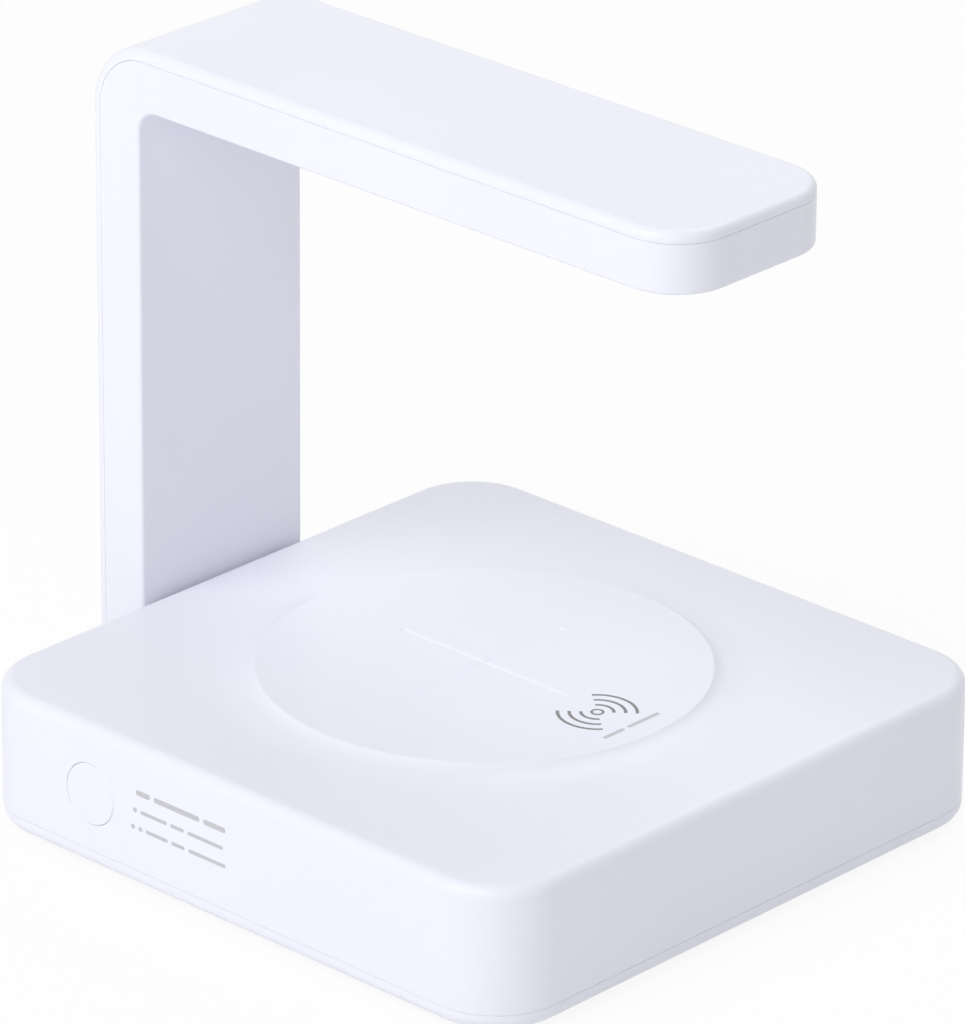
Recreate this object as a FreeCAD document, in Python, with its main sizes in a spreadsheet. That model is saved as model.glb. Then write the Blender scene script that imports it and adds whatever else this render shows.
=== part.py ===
# Desk-top ultraviolet sterilizing lamp with a wireless charging pad.
# Frame: millimetres, +Z up, origin on the desk at the bottom centre of the whole object.
# The lamp column stands behind the base at +Y, its arm reaches over the pad towards -Y,
# and the push button sits in the -X face of the base.
# Every sub-part is drawn about the centre of the base, and its placement then moves it to that origin.
import FreeCAD, Part
import math
import os

import Sketcher

SIZES = {
    # Base shells
    "base_side": 120.0,
    "base_height": 25.3,
    "base_corner": 12.9,
    "edge_round": 2.2,
    "bottom_bevel": 1.5,
    "base_wall": 2.2,
    "roof_depth": 2.4,
    "seam_height": 3.0,
    "seam_gap": 0.25,
    "cover_floor": 2.0,
    "lip_wall": 1.4,
    "lip_height": 3.0,
    # Snap hooks on the lip of the bottom cover
    "hook_length": 10.0,
    "hook_height": 1.2,
    "hook_proud": 0.8,
    "hook_drop": 0.4,
    "hook_offset": 15.0,
    # Clearances: sliding fits, faces that bear on each other, faces that only touch
    "fit_gap": 0.2,
    "seat_gap": 0.1,
    "touch_gap": 0.1,
    # Charging pad with its concave flank and engraved cross
    "pad_radius": 37.8,
    "pad_rise": 1.8,
    "pad_roof": 2.0,
    "cove_width": 9.0,
    "rim_bevel": 0.4,
    "cross_length": 37.0,
    "cross_width": 0.8,
    "cross_depth": 0.4,
    # Coil and ferrite under the pad
    "coil_inner": 10.0,
    "coil_radius": 21.0,
    "coil_depth": 1.2,
    "coil_lead": 1.2,
    "coil_lead_pitch": 3.0,
    "ferrite_side": 44.0,
    "ferrite_depth": 2.0,
    "ferrite_slot": 7.0,
    "ferrite_room": 1.0,
    # Feet
    "corner_inset": 14.0,
    "foot_diameter": 11.6,
    "foot_proud": 1.0,
    "foot_recess": 1.2,
    # Rests and hooks of the main board
    "rest_side": 6.0,
    "board_rest_inset": 4.0,
    "board_hook_length": 10.0,
    "board_hook_wall": 1.6,
    "board_hook_nose": 1.5,
    "board_hook_cap": 1.2,
    # Push button, its switch and the switch board
    "button_diameter": 10.8,
    "button_gap": 0.25,
    "button_bevel": 0.25,
    "button_back": 28.4,
    "button_height": 13.1,
    "button_travel": 0.5,
    "flange_rim": 1.4,
    "flange_depth": 1.0,
    "flange_gap": 0.15,
    "stem_diameter": 3.4,
    "stem_length": 4.2,
    "switch_side": 6.0,
    "switch_depth": 3.4,
    "plunger_diameter": 3.2,
    "plunger_proud": 1.2,
    "plunger_sunk": 1.4,
    "switch_board_width": 16.0,
    "switch_board_drop": 7.0,
    "switch_board_depth": 1.2,
    "guide_bite": 1.4,
    "guide_wall": 1.8,
    "prop_width": 8.0,
    # Main board, its parts and the supply inlet
    "board_level": 11.0,
    "board_depth": 1.6,
    "board_left_gap": 24.0,
    "board_right_gap": 22.0,
    "board_front_margin": 7.0,
    "board_rear_gap": 22.0,
    "board_tab_width": 16.0,
    "board_tab_gap": 1.0,
    "header_width": 8.0,
    "header_length": 6.0,
    "header_height": 5.0,
    "header_inset": 1.0,
    "chip_inset": 14.0,
    "controller_side": 9.0,
    "controller_height": 1.2,
    "controller_front": 20.0,
    "driver_side": 6.0,
    "driver_height": 1.0,
    "driver_front": 36.0,
    "regulator_width": 5.0,
    "regulator_length": 4.0,
    "regulator_height": 1.5,
    "regulator_setback": 4.0,
    "capacitor_width": 7.3,
    "capacitor_length": 4.3,
    "capacitor_height": 4.0,
    "capacitor_pitch": 5.5,
    "capacitor_inset": 12.0,
    "capacitor_front": 8.0,
    "choke_side": 10.0,
    "choke_height": 5.0,
    "choke_bevel": 1.5,
    "choke_inset": 26.0,
    "choke_setback": 24.0,
    "inlet_width": 8.94,
    "inlet_height": 3.16,
    "inlet_length": 7.3,
    "inlet_round": 1.4,
    "inlet_wall": 0.3,
    "inlet_back": 0.8,
    "inlet_recess": 0.5,
    "inlet_tongue_width": 6.7,
    "inlet_tongue_height": 0.7,
    "inlet_tongue_setback": 1.2,
    # Column and arm
    "arm_width": 38.0,
    "arm_height": 123.7,
    "arm_depth": 10.6,
    "column_depth": 10.95,
    "column_gap": 0.85,
    "column_foot": 1.0,
    "tip_setback": 1.6,
    "tip_corner": 10.0,
    "outer_bend": 12.0,
    "inner_bend": 4.0,
    "skin_depth": 2.0,
    "skin_gap": 0.2,
    "skin_round": 1.5,
    "shell_wall": 1.8,
    "rail_wall": 1.2,
    "rail_depth": 1.5,
    # Neck that enters the base
    "neck_width": 26.0,
    "neck_height": 10.0,
    "neck_low": 8.0,
    "neck_reach": 16.0,
    "neck_corner": 1.5,
    "catch_proud": 0.8,
    "catch_length": 3.0,
    "catch_height": 6.0,
    "rest_width": 18.0,
    "rest_depth": 3.0,
    "rest_inset": 10.0,
    "channel_width": 7.0,
    "channel_height": 5.0,
    # Lamp in the arm
    "window_length": 66.0,
    "window_width": 20.0,
    "window_corner": 2.0,
    "window_setback": 20.4,
    "window_ledge": 3.0,
    "window_recess": 0.2,
    "ledge_depth": 1.0,
    "lead_room": 1.5,
    "tray_plate": 0.7,
    "tray_slope": 40.0,
    "led_board_width": 26.0,
    "led_board_margin": 5.0,
    "led_board_depth": 1.2,
    "led_side": 3.5,
    "led_depth": 0.9,
    "led_pane": 2.6,
    "led_pane_depth": 0.3,
    "led_pitch": 10.0,
    "led_hole_gap": 0.35,
    "led_hook_width": 7.0,
    "led_hook_offset": 4.0,
    "led_hook_wall": 1.2,
    "led_hook_nose": 1.2,
    "led_hook_cap": 0.8,
    # Leads
    "lead_width": 3.6,
    "lead_depth": 1.2,
    "lead_bend": 6.0,
    # How far cuts run past a face, and posts into the wall that carries them
    "cut_past": 1.0,
    "post_bite": 0.4,
}

LED_COUNT = 6
CAPACITOR_COUNT = 4
SIGNS = (-1, 1)
TOLERANCE = 1e-4

doc = FreeCAD.newDocument("sterilizer_charger")
sheet = doc.addObject("Spreadsheet::Sheet", "Sizes")
nodes = []


class Size:
    """A length together with the sheet formula that gives it."""

    def __init__(self, formula, value):
        self.formula = formula
        self.value = value

    @staticmethod
    def of(number):
        """Return a Size as it is, or a plain number as a Size."""
        return number if isinstance(number, Size) else Size(f"({float(number)})", float(number))

    def joined(self, sign, other, value):
        """Return the Size whose formula joins this one and another by a sign."""
        return Size(f"({self.formula} {sign} {Size.of(other).formula})", value)

    def __add__(self, other):
        return self.joined("+", other, self.value + Size.of(other).value)

    def __sub__(self, other):
        return self.joined("-", other, self.value - Size.of(other).value)

    def __mul__(self, other):
        return self.joined("*", other, self.value * Size.of(other).value)

    def __truediv__(self, other):
        return self.joined("/", other, self.value / Size.of(other).value)

    def __neg__(self):
        return Size.of(0.0) - self


class Sheet:
    """The driving dimensions, each an attribute of its own name."""

    def __init__(self, sizes):
        for row, (name, value) in enumerate(sizes.items(), start=1):
            sheet.set(f"A{row}", name)
            sheet.set(f"B{row}", str(value))
            sheet.setAlias(f"B{row}", name)
            setattr(self, name, Size(f"Sizes.{name}", value))
        doc.recompute()


def bind(target, name, size):
    """Tie one property of an object to a sheet formula."""
    target.setExpression(name, size.formula)


# Sketches

ROLES = {"level": ("XY_Plane", 1), "side": ("YZ_Plane", 1), "rear": ("XZ_Plane", -1)}


class Draft:
    """A sketch on an origin plane of its body, moved along that plane's axis.

    A level draft lies across Z, a side draft across X and a rear draft across Y.
    """

    def __init__(self, body, purpose, plane, place):
        role, self.facing = ROLES[plane]
        self.body = body
        self.purpose = purpose
        self.sketch = body.newObject("Sketcher::SketchObject", f"{body.Label}_{purpose}_sketch")
        support = next(item for item in body.Origin.OriginFeatures if item.Role == role)
        self.sketch.AttachmentSupport = [(support, "")]
        self.sketch.MapMode = "FlatFace"
        bind(self.sketch, "AttachmentOffset.Base.z", Size.of(place) * self.facing)

    def fix(self, kind, first, size):
        """Add one dimension, tied to its formula."""
        index = self.sketch.addConstraint(Sketcher.Constraint(kind, *first, size.value))
        bind(self.sketch, f"Constraints[{index}]", size)

    def pin(self, geometry, end, across, along):
        """Dimension a point from the origin of the sketch."""
        self.fix("DistanceX", (-1, 1, geometry, end), Size.of(across))
        self.fix("DistanceY", (-1, 1, geometry, end), Size.of(along))

    def circle(self, across, along, radius):
        """Draw a circle."""
        centre = FreeCAD.Vector(Size.of(across).value, Size.of(along).value, 0)
        geometry = self.sketch.addGeometry(Part.Circle(centre, FreeCAD.Vector(0, 0, 1), radius.value))
        self.pin(geometry, 3, across, along)
        self.fix("Radius", (geometry,), radius)
        return self

    def path(self, corners, closed=True):
        """Draw lines and arcs through corners: (across, along) or (across, along, radius, turn).

        A corner with a radius starts an arc to the next corner, with turn 1 to the left, -1 to the right.
        """
        count = len(corners) if closed else len(corners) - 1
        edges = []
        for start, end in zip(corners[:count], corners[1:] + corners[:1]):
            edges.append(self.edge(start, end))
        for (geometry, _, last), (follower, first, _) in zip(edges, edges[1:] + edges[:1] * closed):
            self.sketch.addConstraint(Sketcher.Constraint("Coincident", geometry, last, follower, first))
        for (geometry, first, _), corner in zip(edges, corners):
            self.pin(geometry, first, corner[0], corner[1])
        if not closed:
            geometry, _, last = edges[-1]
            self.pin(geometry, last, *corners[-1][:2])
        return self

    def edge(self, start, end):
        """Draw one line or arc and return its index with the numbers of its two ends."""
        first = FreeCAD.Vector(Size.of(start[0]).value, Size.of(start[1]).value, 0)
        last = FreeCAD.Vector(Size.of(end[0]).value, Size.of(end[1]).value, 0)
        if len(start) == 2:
            return self.sketch.addGeometry(Part.LineSegment(first, last)), 1, 2
        radius, turn = start[2:]
        chord = last - first
        rise = math.sqrt(radius.value ** 2 - chord.Length ** 2 / 4)
        centre = (first + last) / 2 + FreeCAD.Vector(-chord.y, chord.x, 0) / chord.Length * rise * turn
        angles = [math.atan2(point.y - centre.y, point.x - centre.x) for point in (first, last)][::turn]
        circle = Part.Circle(centre, FreeCAD.Vector(0, 0, 1), radius.value)
        geometry = self.sketch.addGeometry(Part.ArcOfCircle(circle, *angles))
        self.fix("Radius", (geometry,), radius)
        return (geometry, 1, 2) if turn > 0 else (geometry, 2, 1)


def rounded(corners):
    """Return path corners for an outline of level and upright lines, with arcs at its round corners.

    Each corner is (across, along) or (across, along, radius).
    """
    path = []
    for index, corner in enumerate(corners):
        if len(corner) == 2:
            path.append(corner)
            continue
        across, along, radius = corner
        before = heading(corners[index - 1], corner)
        after = heading(corner, corners[(index + 1) % len(corners)])
        turn = before[0] * after[1] - before[1] * after[0]
        path.append((across - radius * before[0], along - radius * before[1], radius, turn))
        path.append((across + radius * after[0], along + radius * after[1]))
    return path


def heading(start, end):
    """Return the direction from one corner to the next, as whole steps across and along."""
    step = [Size.of(last).value - Size.of(first).value for first, last in zip(start[:2], end[:2])]
    return tuple(0 if abs(part) < TOLERANCE else int(math.copysign(1, part)) for part in step)


def box(left, front, right, back, *radius):
    """Return the outline of a rectangle, with round corners if a radius is given."""
    corners = ((left, front), (right, front), (right, back), (left, back))
    return rounded([(*corner, *radius) for corner in corners])


def centred(across, along, width, length, *radius):
    """Return the outline of a rectangle about its centre."""
    return box(
        Size.of(across) - width / 2,
        Size.of(along) - length / 2,
        Size.of(across) + width / 2,
        Size.of(along) + length / 2,
        *radius,
    )


# Features

def new_body(label):
    """Start the body of one sub-part."""
    body = doc.addObject("PartDesign::Body", label)
    body.Label = label
    bind(body, "Placement.Base.y", base_shift)
    nodes.append(body)
    return body


def volume(body):
    """Return the volume of a body, which is none before its first feature."""
    return 0.0 if body.Shape.isNull() else body.Shape.Volume


def settle(body, before, sign):
    """Recompute, and stop if a feature did not add or remove material."""
    doc.recompute()
    if (volume(body) - before) * sign <= 0:
        raise RuntimeError(f"{body.Tip.Label} changed nothing")


def pad(draft, length, toward=1, symmetric=False):
    """Raise a draft by a length, towards the positive or negative end of its axis."""
    before = volume(draft.body)
    feature = draft.body.newObject("PartDesign::Pad", f"{draft.body.Label}_{draft.purpose}")
    feature.Profile = draft.sketch
    feature.SideType = "Symmetric" if symmetric else "One side"
    feature.Reversed = toward * draft.facing < 0
    bind(feature, "Length", length)
    settle(draft.body, before, 1)
    return feature


def pocket(draft, length, toward=1, symmetric=False, slope=None):
    """Cut a draft by a length, towards the positive or negative end of its axis."""
    before = volume(draft.body)
    feature = draft.body.newObject("PartDesign::Pocket", f"{draft.body.Label}_{draft.purpose}")
    feature.Profile = draft.sketch
    feature.SideType = "Symmetric" if symmetric else "One side"
    feature.Reversed = toward * draft.facing > 0
    bind(feature, "Length", length)
    if slope is not None:
        bind(feature, "TaperAngle", slope)
    settle(draft.body, before, -1)
    return feature


def fillet(body, purpose, radius, chosen):
    """Round the edges of a body that pass a test."""
    dress(body, purpose, "PartDesign::Fillet", "Radius", radius, chosen)


def chamfer(body, purpose, width, chosen):
    """Bevel the edges of a body that pass a test."""
    dress(body, purpose, "PartDesign::Chamfer", "Size", width, chosen)


def dress(body, purpose, kind, name, size, chosen):
    """Add a fillet or chamfer to the chosen edges, and stop if it fails."""
    base = body.Tip
    edges = [f"Edge{number}" for number, edge in enumerate(base.Shape.Edges, start=1) if chosen(edge)]
    feature = body.newObject(kind, f"{body.Label}_{purpose}")
    feature.Base = (base, edges)
    bind(feature, name, size)
    doc.recompute()
    if "Invalid" in feature.State:
        raise RuntimeError(f"{feature.Label} dressed nothing")


def near(first, size):
    """Tell whether a measured number equals a size."""
    return abs(first - Size.of(size).value) < TOLERANCE


def lies_level(edge, height):
    """Tell whether an edge lies at one height."""
    return near(edge.BoundBox.ZMin, height) and near(edge.BoundBox.ZMax, height)


def posts(body, purpose, points, radius, low, high):
    """Raise round posts from one height to another."""
    draft = Draft(body, purpose, "level", low)
    for across, along in points:
        draft.circle(across, along, radius)
    return pad(draft, Size.of(high) - low)


def bores(body, purpose, points, radius, low, high):
    """Cut round holes from one height up to another."""
    draft = Draft(body, purpose, "level", low)
    for across, along in points:
        draft.circle(across, along, radius)
    return pocket(draft, Size.of(high) - low)


# Places worked out from the driving dimensions

d = Sheet(SIZES)
CENTRE = Size.of(0.0)

half = d.base_side / 2
base_shift = -(d.column_gap + d.column_depth) / 2
under_z = d.foot_proud
seam_z = under_z + d.seam_height
shell_z = seam_z + d.seam_gap
top_z = under_z + d.base_height
roof_z = top_z - d.roof_depth
pad_z = top_z + d.pad_rise
ceiling_z = pad_z - d.pad_roof
inside = half - d.base_wall
corner_points = [((half - d.corner_inset) * sx, (half - d.corner_inset) * sy) for sx in SIGNS for sy in SIGNS]
hook_top = seam_z + d.lip_height - d.hook_drop
hook_low = hook_top - d.hook_height

coil_low_z = ceiling_z - d.touch_gap - d.coil_depth
ferrite_low_z = coil_low_z - d.ferrite_depth

button_y = half - d.button_back
button_z = under_z + d.button_height
flange_x = d.base_wall + d.flange_gap - half
stem_x = flange_x + d.flange_depth + d.stem_length
plunger_x = stem_x + d.touch_gap
switch_x = plunger_x + d.plunger_proud
switch_board_x = switch_x + d.switch_depth
switch_board_back_x = switch_board_x + d.switch_board_depth
switch_board_low_z = button_z - d.switch_board_drop
switch_board_top = roof_z - d.fit_gap

board_z = under_z + d.board_level
board_low_z = board_z - d.board_depth
board_left = d.board_left_gap - half
board_right = half - d.board_right_gap
board_front = -d.coil_radius - d.board_front_margin
board_rear = half - d.board_rear_gap
rest_points = [
    (across, along)
    for across in (board_left + d.board_rest_inset, board_right - d.board_rest_inset)
    for along in (board_front + d.board_rest_inset, board_rear - d.board_rest_inset)
]
lead_low_z = board_z + d.header_height / 2
switch_header_x = board_left + d.board_rest_inset + d.rest_side / 2 + d.header_inset
switch_header_y = button_y - d.switch_board_width / 2 + d.guide_bite + d.lead_width / 2 + d.fit_gap * 2
lamp_header_y = board_rear - d.header_inset
inlet_x = board_right - d.board_tab_width / 2
inlet_z = board_z + d.inlet_height / 2
inlet_mouth_y = half - d.inlet_recess

column_in = half + d.column_gap
column_out = column_in + d.column_depth
column_low = under_z + d.column_foot
column_seam = column_out - d.skin_depth
arm_top = under_z + d.arm_height
arm_low = arm_top - d.arm_depth
arm_seam = arm_top - d.skin_depth
arm_floor = arm_low + d.shell_wall
seam_bend = d.outer_bend - d.skin_depth
tip_y = d.tip_setback - half
hollow_width = d.arm_width - d.shell_wall * 2

neck_z = under_z + d.neck_low
neck_top = neck_z + d.neck_height
neck_end = half - d.neck_reach

window_y = tip_y + d.window_setback + d.window_length / 2
tray_length = d.window_length + d.window_ledge * 2
tray_width = d.window_width + d.window_ledge * 2
led_board_top = arm_seam - d.lead_room
led_board_z = led_board_top - d.led_board_depth
tray_z = arm_floor + d.ledge_depth
tray_depth = led_board_z - tray_z
led_board_length = tray_length + d.led_board_margin * 2
led_rows = [window_y + d.led_pitch * (row - (LED_COUNT - 1) / 2) for row in range(LED_COUNT)]


# Base

def base_outline(inset):
    """Return the rounded square of the base, drawn in by an inset."""
    side = d.base_side - Size.of(inset) * 2
    return centred(CENTRE, CENTRE, side, side, d.base_corner - inset)


def base_housing():
    """Moulded top shell with the charging pad, rests and hooks for the board, and its wall openings."""
    body = new_body("base_housing")
    pad(Draft(body, "block", "level", shell_z).path(base_outline(CENTRE)), pad_z - shell_z)
    charging_pad(body)
    pocket(Draft(body, "hollow", "level", shell_z).path(base_outline(d.base_wall)), roof_z - shell_z)
    room = d.ferrite_side + d.ferrite_room * 2
    recess = Draft(body, "coil_recess", "level", roof_z).path(centred(CENTRE, CENTRE, room, room))
    pocket(recess, ceiling_z - roof_z)
    board_seats(body)
    switch_guides(body)
    wall_openings(body)


def charging_pad(body):
    """Turn the block down to the flat top round the pad, and engrave the cross."""
    before = volume(body)
    cove = (d.cove_width * d.cove_width + d.pad_rise * d.pad_rise) / (d.pad_rise * 2)
    turned = Draft(body, "flank", "rear", CENTRE).path([
        (d.pad_radius, pad_z, cove, 1),
        (d.pad_radius + d.cove_width, top_z),
        (d.base_side, top_z),
        (d.base_side, pad_z + d.cut_past),
        (d.pad_radius, pad_z + d.cut_past),
    ])
    groove = body.newObject("PartDesign::Groove", "base_housing_flank")
    groove.Profile = turned.sketch
    groove.ReferenceAxis = (turned.sketch, ["V_Axis"])
    groove.Angle = 360
    settle(body, before, -1)
    outer = d.pad_radius + d.cove_width
    fillet(
        body, "top_edge", d.edge_round,
        lambda edge: lies_level(edge, top_z) and edge.CenterOfMass.Length > outer.value,
    )
    chamfer(body, "pad_rim", d.rim_bevel, lambda edge: lies_level(edge, pad_z))
    long, thin = d.cross_length / 2, d.cross_width / 2
    cross = Draft(body, "cross", "level", pad_z).path([
        (long, -thin), (long, thin), (thin, thin), (thin, long), (-thin, long), (-thin, thin),
        (-long, thin), (-long, -thin), (-thin, -thin), (-thin, -long), (thin, -long), (thin, -thin),
    ])
    pocket(cross, d.cross_depth, toward=-1)


def board_seats(body):
    """Rests under the roof for the main board and the neck, and a hook under each side of the board."""
    rests = Draft(body, "board_rests", "level", board_z + d.seat_gap)
    for point in rest_points:
        rests.path(centred(*point, d.rest_side, d.rest_side))
    pad(rests, roof_z + d.post_bite - board_z - d.seat_gap)
    rest = Draft(body, "neck_rest", "level", neck_top + d.seat_gap)
    rest.path(centred(CENTRE, half - d.rest_inset, d.rest_width, d.rest_depth))
    pad(rest, roof_z + d.post_bite - neck_top - d.seat_gap)
    middle = (board_front + board_rear) / 2
    hooks = Draft(body, "board_hooks", "rear", middle)
    nose_top = board_low_z - d.touch_gap
    for edge, sign in ((board_left, -1), (board_right, 1)):
        inner = edge + d.fit_gap * sign
        hooks.path(hook_profile(
            inner, inner + d.board_hook_wall * sign, edge - d.board_hook_nose * sign,
            roof_z + d.post_bite, nose_top, nose_top - d.board_hook_cap,
        ))
    pad(hooks, d.board_hook_length, symmetric=True)


def hook_profile(inner, outer, nose, root, seat, end):
    """Return the outline of a hook: a wall from its root down to a nose, which bears at its seat."""
    return [(outer, root), (outer, end), (nose, end), (nose, seat), (inner, seat), (inner, root)]


def switch_guides(body):
    """Two upright guides under the roof, each with a slot for one edge of the switch board."""
    guides = Draft(body, "guides", "level", switch_board_low_z)
    front = switch_board_x - d.guide_wall
    back = switch_board_back_x + d.guide_wall
    for sign in SIGNS:
        edge = button_y + d.switch_board_width / 2 * sign
        mouth = edge - d.guide_bite * sign
        floor = edge + d.fit_gap * sign
        outer = floor + d.guide_wall * sign
        guides.path([
            (front, mouth), (switch_board_x - d.touch_gap, mouth), (switch_board_x - d.touch_gap, floor),
            (switch_board_back_x + d.touch_gap, floor), (switch_board_back_x + d.touch_gap, mouth),
            (back, mouth), (back, outer), (front, outer),
        ])
    pad(guides, roof_z + d.post_bite - switch_board_low_z)


def wall_openings(body):
    """Button hole in the left wall, inlet and neck slot in the rear wall, and catches for the hooks."""
    hole = Draft(body, "button_hole", "side", -half)
    pocket(hole.circle(button_y, button_z, d.button_diameter / 2 + d.button_gap), d.base_wall + d.cut_past)
    inlet = Draft(body, "inlet_hole", "rear", half)
    gap = d.fit_gap * 2
    pocket(
        inlet.path(centred(
            inlet_x, inlet_z, d.inlet_width + gap, d.inlet_height + gap, d.inlet_round + d.fit_gap,
        )),
        d.base_wall + d.cut_past, toward=-1,
    )
    slot = Draft(body, "neck_slot", "rear", half)
    pocket(slot.path(neck_outline(d.fit_gap)), d.base_wall + d.cut_past, toward=-1)
    catches = Draft(body, "catches", "level", hook_low - d.fit_gap)
    hook_outlines(catches, d.base_wall - d.hook_proud, d.base_wall + d.cut_past, d.hook_length + gap)
    pocket(catches, d.hook_height + gap)


def hook_outlines(draft, outer, inner, length):
    """Draw two rectangles beside each wall of the base, between two insets from its outside."""
    middle = half - (outer + inner) / 2
    for side in SIGNS:
        for offset in (-d.hook_offset, d.hook_offset):
            draft.path(centred(middle * side, offset, inner - outer, length))
            draft.path(centred(offset, middle * side, length, inner - outer))


def bottom_cover():
    """Moulded tray with a hooked locating lip, a prop for the switch board and recesses for the feet."""
    body = new_body("bottom_cover")
    pad(Draft(body, "tray", "level", under_z).path(base_outline(CENTRE)), d.seam_height)
    chamfer(body, "bottom_edge", d.bottom_bevel, lambda edge: lies_level(edge, under_z))
    floor_z = under_z + d.cover_floor
    lip_top = seam_z + d.lip_height
    lip_out = d.base_wall + d.fit_gap
    lip_in = lip_out + d.lip_wall
    pocket(Draft(body, "hollow", "level", floor_z).path(base_outline(lip_in)), seam_z - floor_z)
    lip = Draft(body, "lip", "level", floor_z).path(base_outline(lip_out)).path(base_outline(lip_in))
    pad(lip, lip_top - floor_z)
    hooks = Draft(body, "hooks", "level", hook_low)
    hook_outlines(hooks, lip_out - d.hook_proud, lip_out + d.post_bite, d.hook_length)
    pad(hooks, d.hook_height)
    notch = Draft(body, "button_notch", "level", seam_z)
    notch_width = d.button_diameter + (d.flange_rim + d.fit_gap) * 2
    notch_depth = d.hook_proud + d.lip_wall + d.cut_past
    notch.path(centred(lip_in + d.cut_past / 2 - notch_depth / 2 - half, button_y, notch_depth, notch_width))
    pocket(notch, d.lip_height)
    prop = Draft(body, "switch_prop", "level", floor_z - d.post_bite)
    prop_x = (switch_board_x + switch_board_back_x) / 2
    prop_depth = d.switch_board_depth + d.guide_wall * 2
    prop.path(centred(prop_x, button_y, prop_depth, d.prop_width))
    pad(prop, switch_board_low_z - d.touch_gap - floor_z + d.post_bite)
    recess_z = under_z + d.foot_recess
    bores(body, "foot_recesses", corner_points, d.foot_diameter / 2 + d.fit_gap, under_z, recess_z)


def rubber_feet():
    """Four glued feet."""
    body = new_body("rubber_feet")
    posts(body, "discs", corner_points, d.foot_diameter / 2, CENTRE, under_z + d.foot_recess - d.touch_gap)


# Button and switch

def timer_button():
    """Flush round cap with a flange that keeps it in and a stem that reaches the switch."""
    body = new_body("timer_button")
    radius = d.button_diameter / 2
    pad(Draft(body, "cap", "side", -half).circle(button_y, button_z, radius), flange_x + half)
    chamfer(body, "cap_edge", d.button_bevel, lambda edge: near(edge.BoundBox.XMax, -half))
    flange = Draft(body, "flange", "side", flange_x)
    pad(flange.circle(button_y, button_z, radius + d.flange_rim), d.flange_depth)
    stem = Draft(body, "stem", "side", flange_x + d.flange_depth)
    pad(stem.circle(button_y, button_z, d.stem_diameter / 2), d.stem_length)


def tact_switch():
    """Square switch body with a bore for its plunger."""
    body = new_body("tact_switch")
    case = Draft(body, "case", "side", switch_x)
    pad(case.path(centred(button_y, button_z, d.switch_side, d.switch_side)), d.switch_depth)
    bore = Draft(body, "bore", "side", switch_x)
    bore.circle(button_y, button_z, d.plunger_diameter / 2 + d.fit_gap)
    pocket(bore, d.plunger_sunk + d.button_travel + d.fit_gap)


def switch_plunger():
    """Moving plunger of the switch."""
    body = new_body("switch_plunger")
    rod = Draft(body, "rod", "side", plunger_x).circle(button_y, button_z, d.plunger_diameter / 2)
    pad(rod, d.plunger_proud + d.plunger_sunk)


def switch_board():
    """Upright board behind the button, held in the guides."""
    body = new_body("switch_board")
    plate = Draft(body, "plate", "side", switch_board_x)
    reach = d.switch_board_width / 2
    plate.path(box(button_y - reach, switch_board_low_z, button_y + reach, switch_board_top))
    pad(plate, d.switch_board_depth)


def switch_lead():
    """Lead from the switch board to its header on the main board."""
    body = new_body("switch_lead")
    wire = Draft(body, "wire", "side", switch_board_back_x)
    wire.path(centred(switch_header_y, lead_low_z, d.lead_width, d.lead_depth))
    pad(wire, switch_header_x - switch_board_back_x)


# Main board

def main_board():
    """Board with a tab that carries the inlet to the rear wall."""
    body = new_body("main_board")
    tab_end = inside - d.board_tab_gap
    tab_left = board_right - d.board_tab_width
    plate = Draft(body, "plate", "level", board_low_z).path([
        (board_left, board_front),
        (board_right, board_front),
        (board_right, tab_end),
        (tab_left, tab_end),
        (tab_left, board_rear),
        (board_left, board_rear),
    ])
    pad(plate, d.board_depth)


def blocks(label, pieces):
    """Make a group of upright blocks on the main board, each (across, along, width, length, height)."""
    body = new_body(label)
    for number, (across, along, width, length, height) in enumerate(pieces):
        outline = centred(across, along, width, length)
        pad(Draft(body, f"block{number}", "level", board_z).path(outline), height)


def control_chips():
    """Controller, coil driver and regulator."""
    row = board_right - d.chip_inset
    blocks("control_chips", [
        (row, board_front + d.controller_front, d.controller_side, d.controller_side, d.controller_height),
        (row, board_front + d.driver_front, d.driver_side, d.driver_side, d.driver_height),
        (
            inlet_x, board_rear + d.regulator_setback,
            d.regulator_width, d.regulator_length, d.regulator_height,
        ),
    ])


def resonant_capacitors():
    """Row of film capacitors."""
    row = board_left + d.capacitor_inset
    size = (d.capacitor_width, d.capacitor_length, d.capacitor_height)
    first = board_front + d.capacitor_front
    blocks(
        "resonant_capacitors",
        [(row, first + d.capacitor_pitch * step, *size) for step in range(CAPACITOR_COUNT)],
    )


def power_inductor():
    """Moulded choke with bevelled corners."""
    body = new_body("power_inductor")
    middle = (board_left + d.choke_inset, board_rear - d.choke_setback)
    block = Draft(body, "block", "level", board_z).path(centred(*middle, d.choke_side, d.choke_side))
    pad(block, d.choke_height)
    chamfer(body, "corners", d.choke_bevel, lambda edge: near(edge.BoundBox.ZLength, d.choke_height))


def lead_headers():
    """Plug headers for the lamp lead and the switch lead."""
    body = new_body("lead_headers")
    lamp = Draft(body, "lamp", "level", board_z)
    lamp.path(box(-d.header_width / 2, lamp_header_y - d.header_length, d.header_width / 2, lamp_header_y))
    lamp.path(box(
        switch_header_x,
        switch_header_y - d.header_width / 2,
        switch_header_x + d.header_length,
        switch_header_y + d.header_width / 2,
    ))
    pad(lamp, d.header_height)


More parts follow.
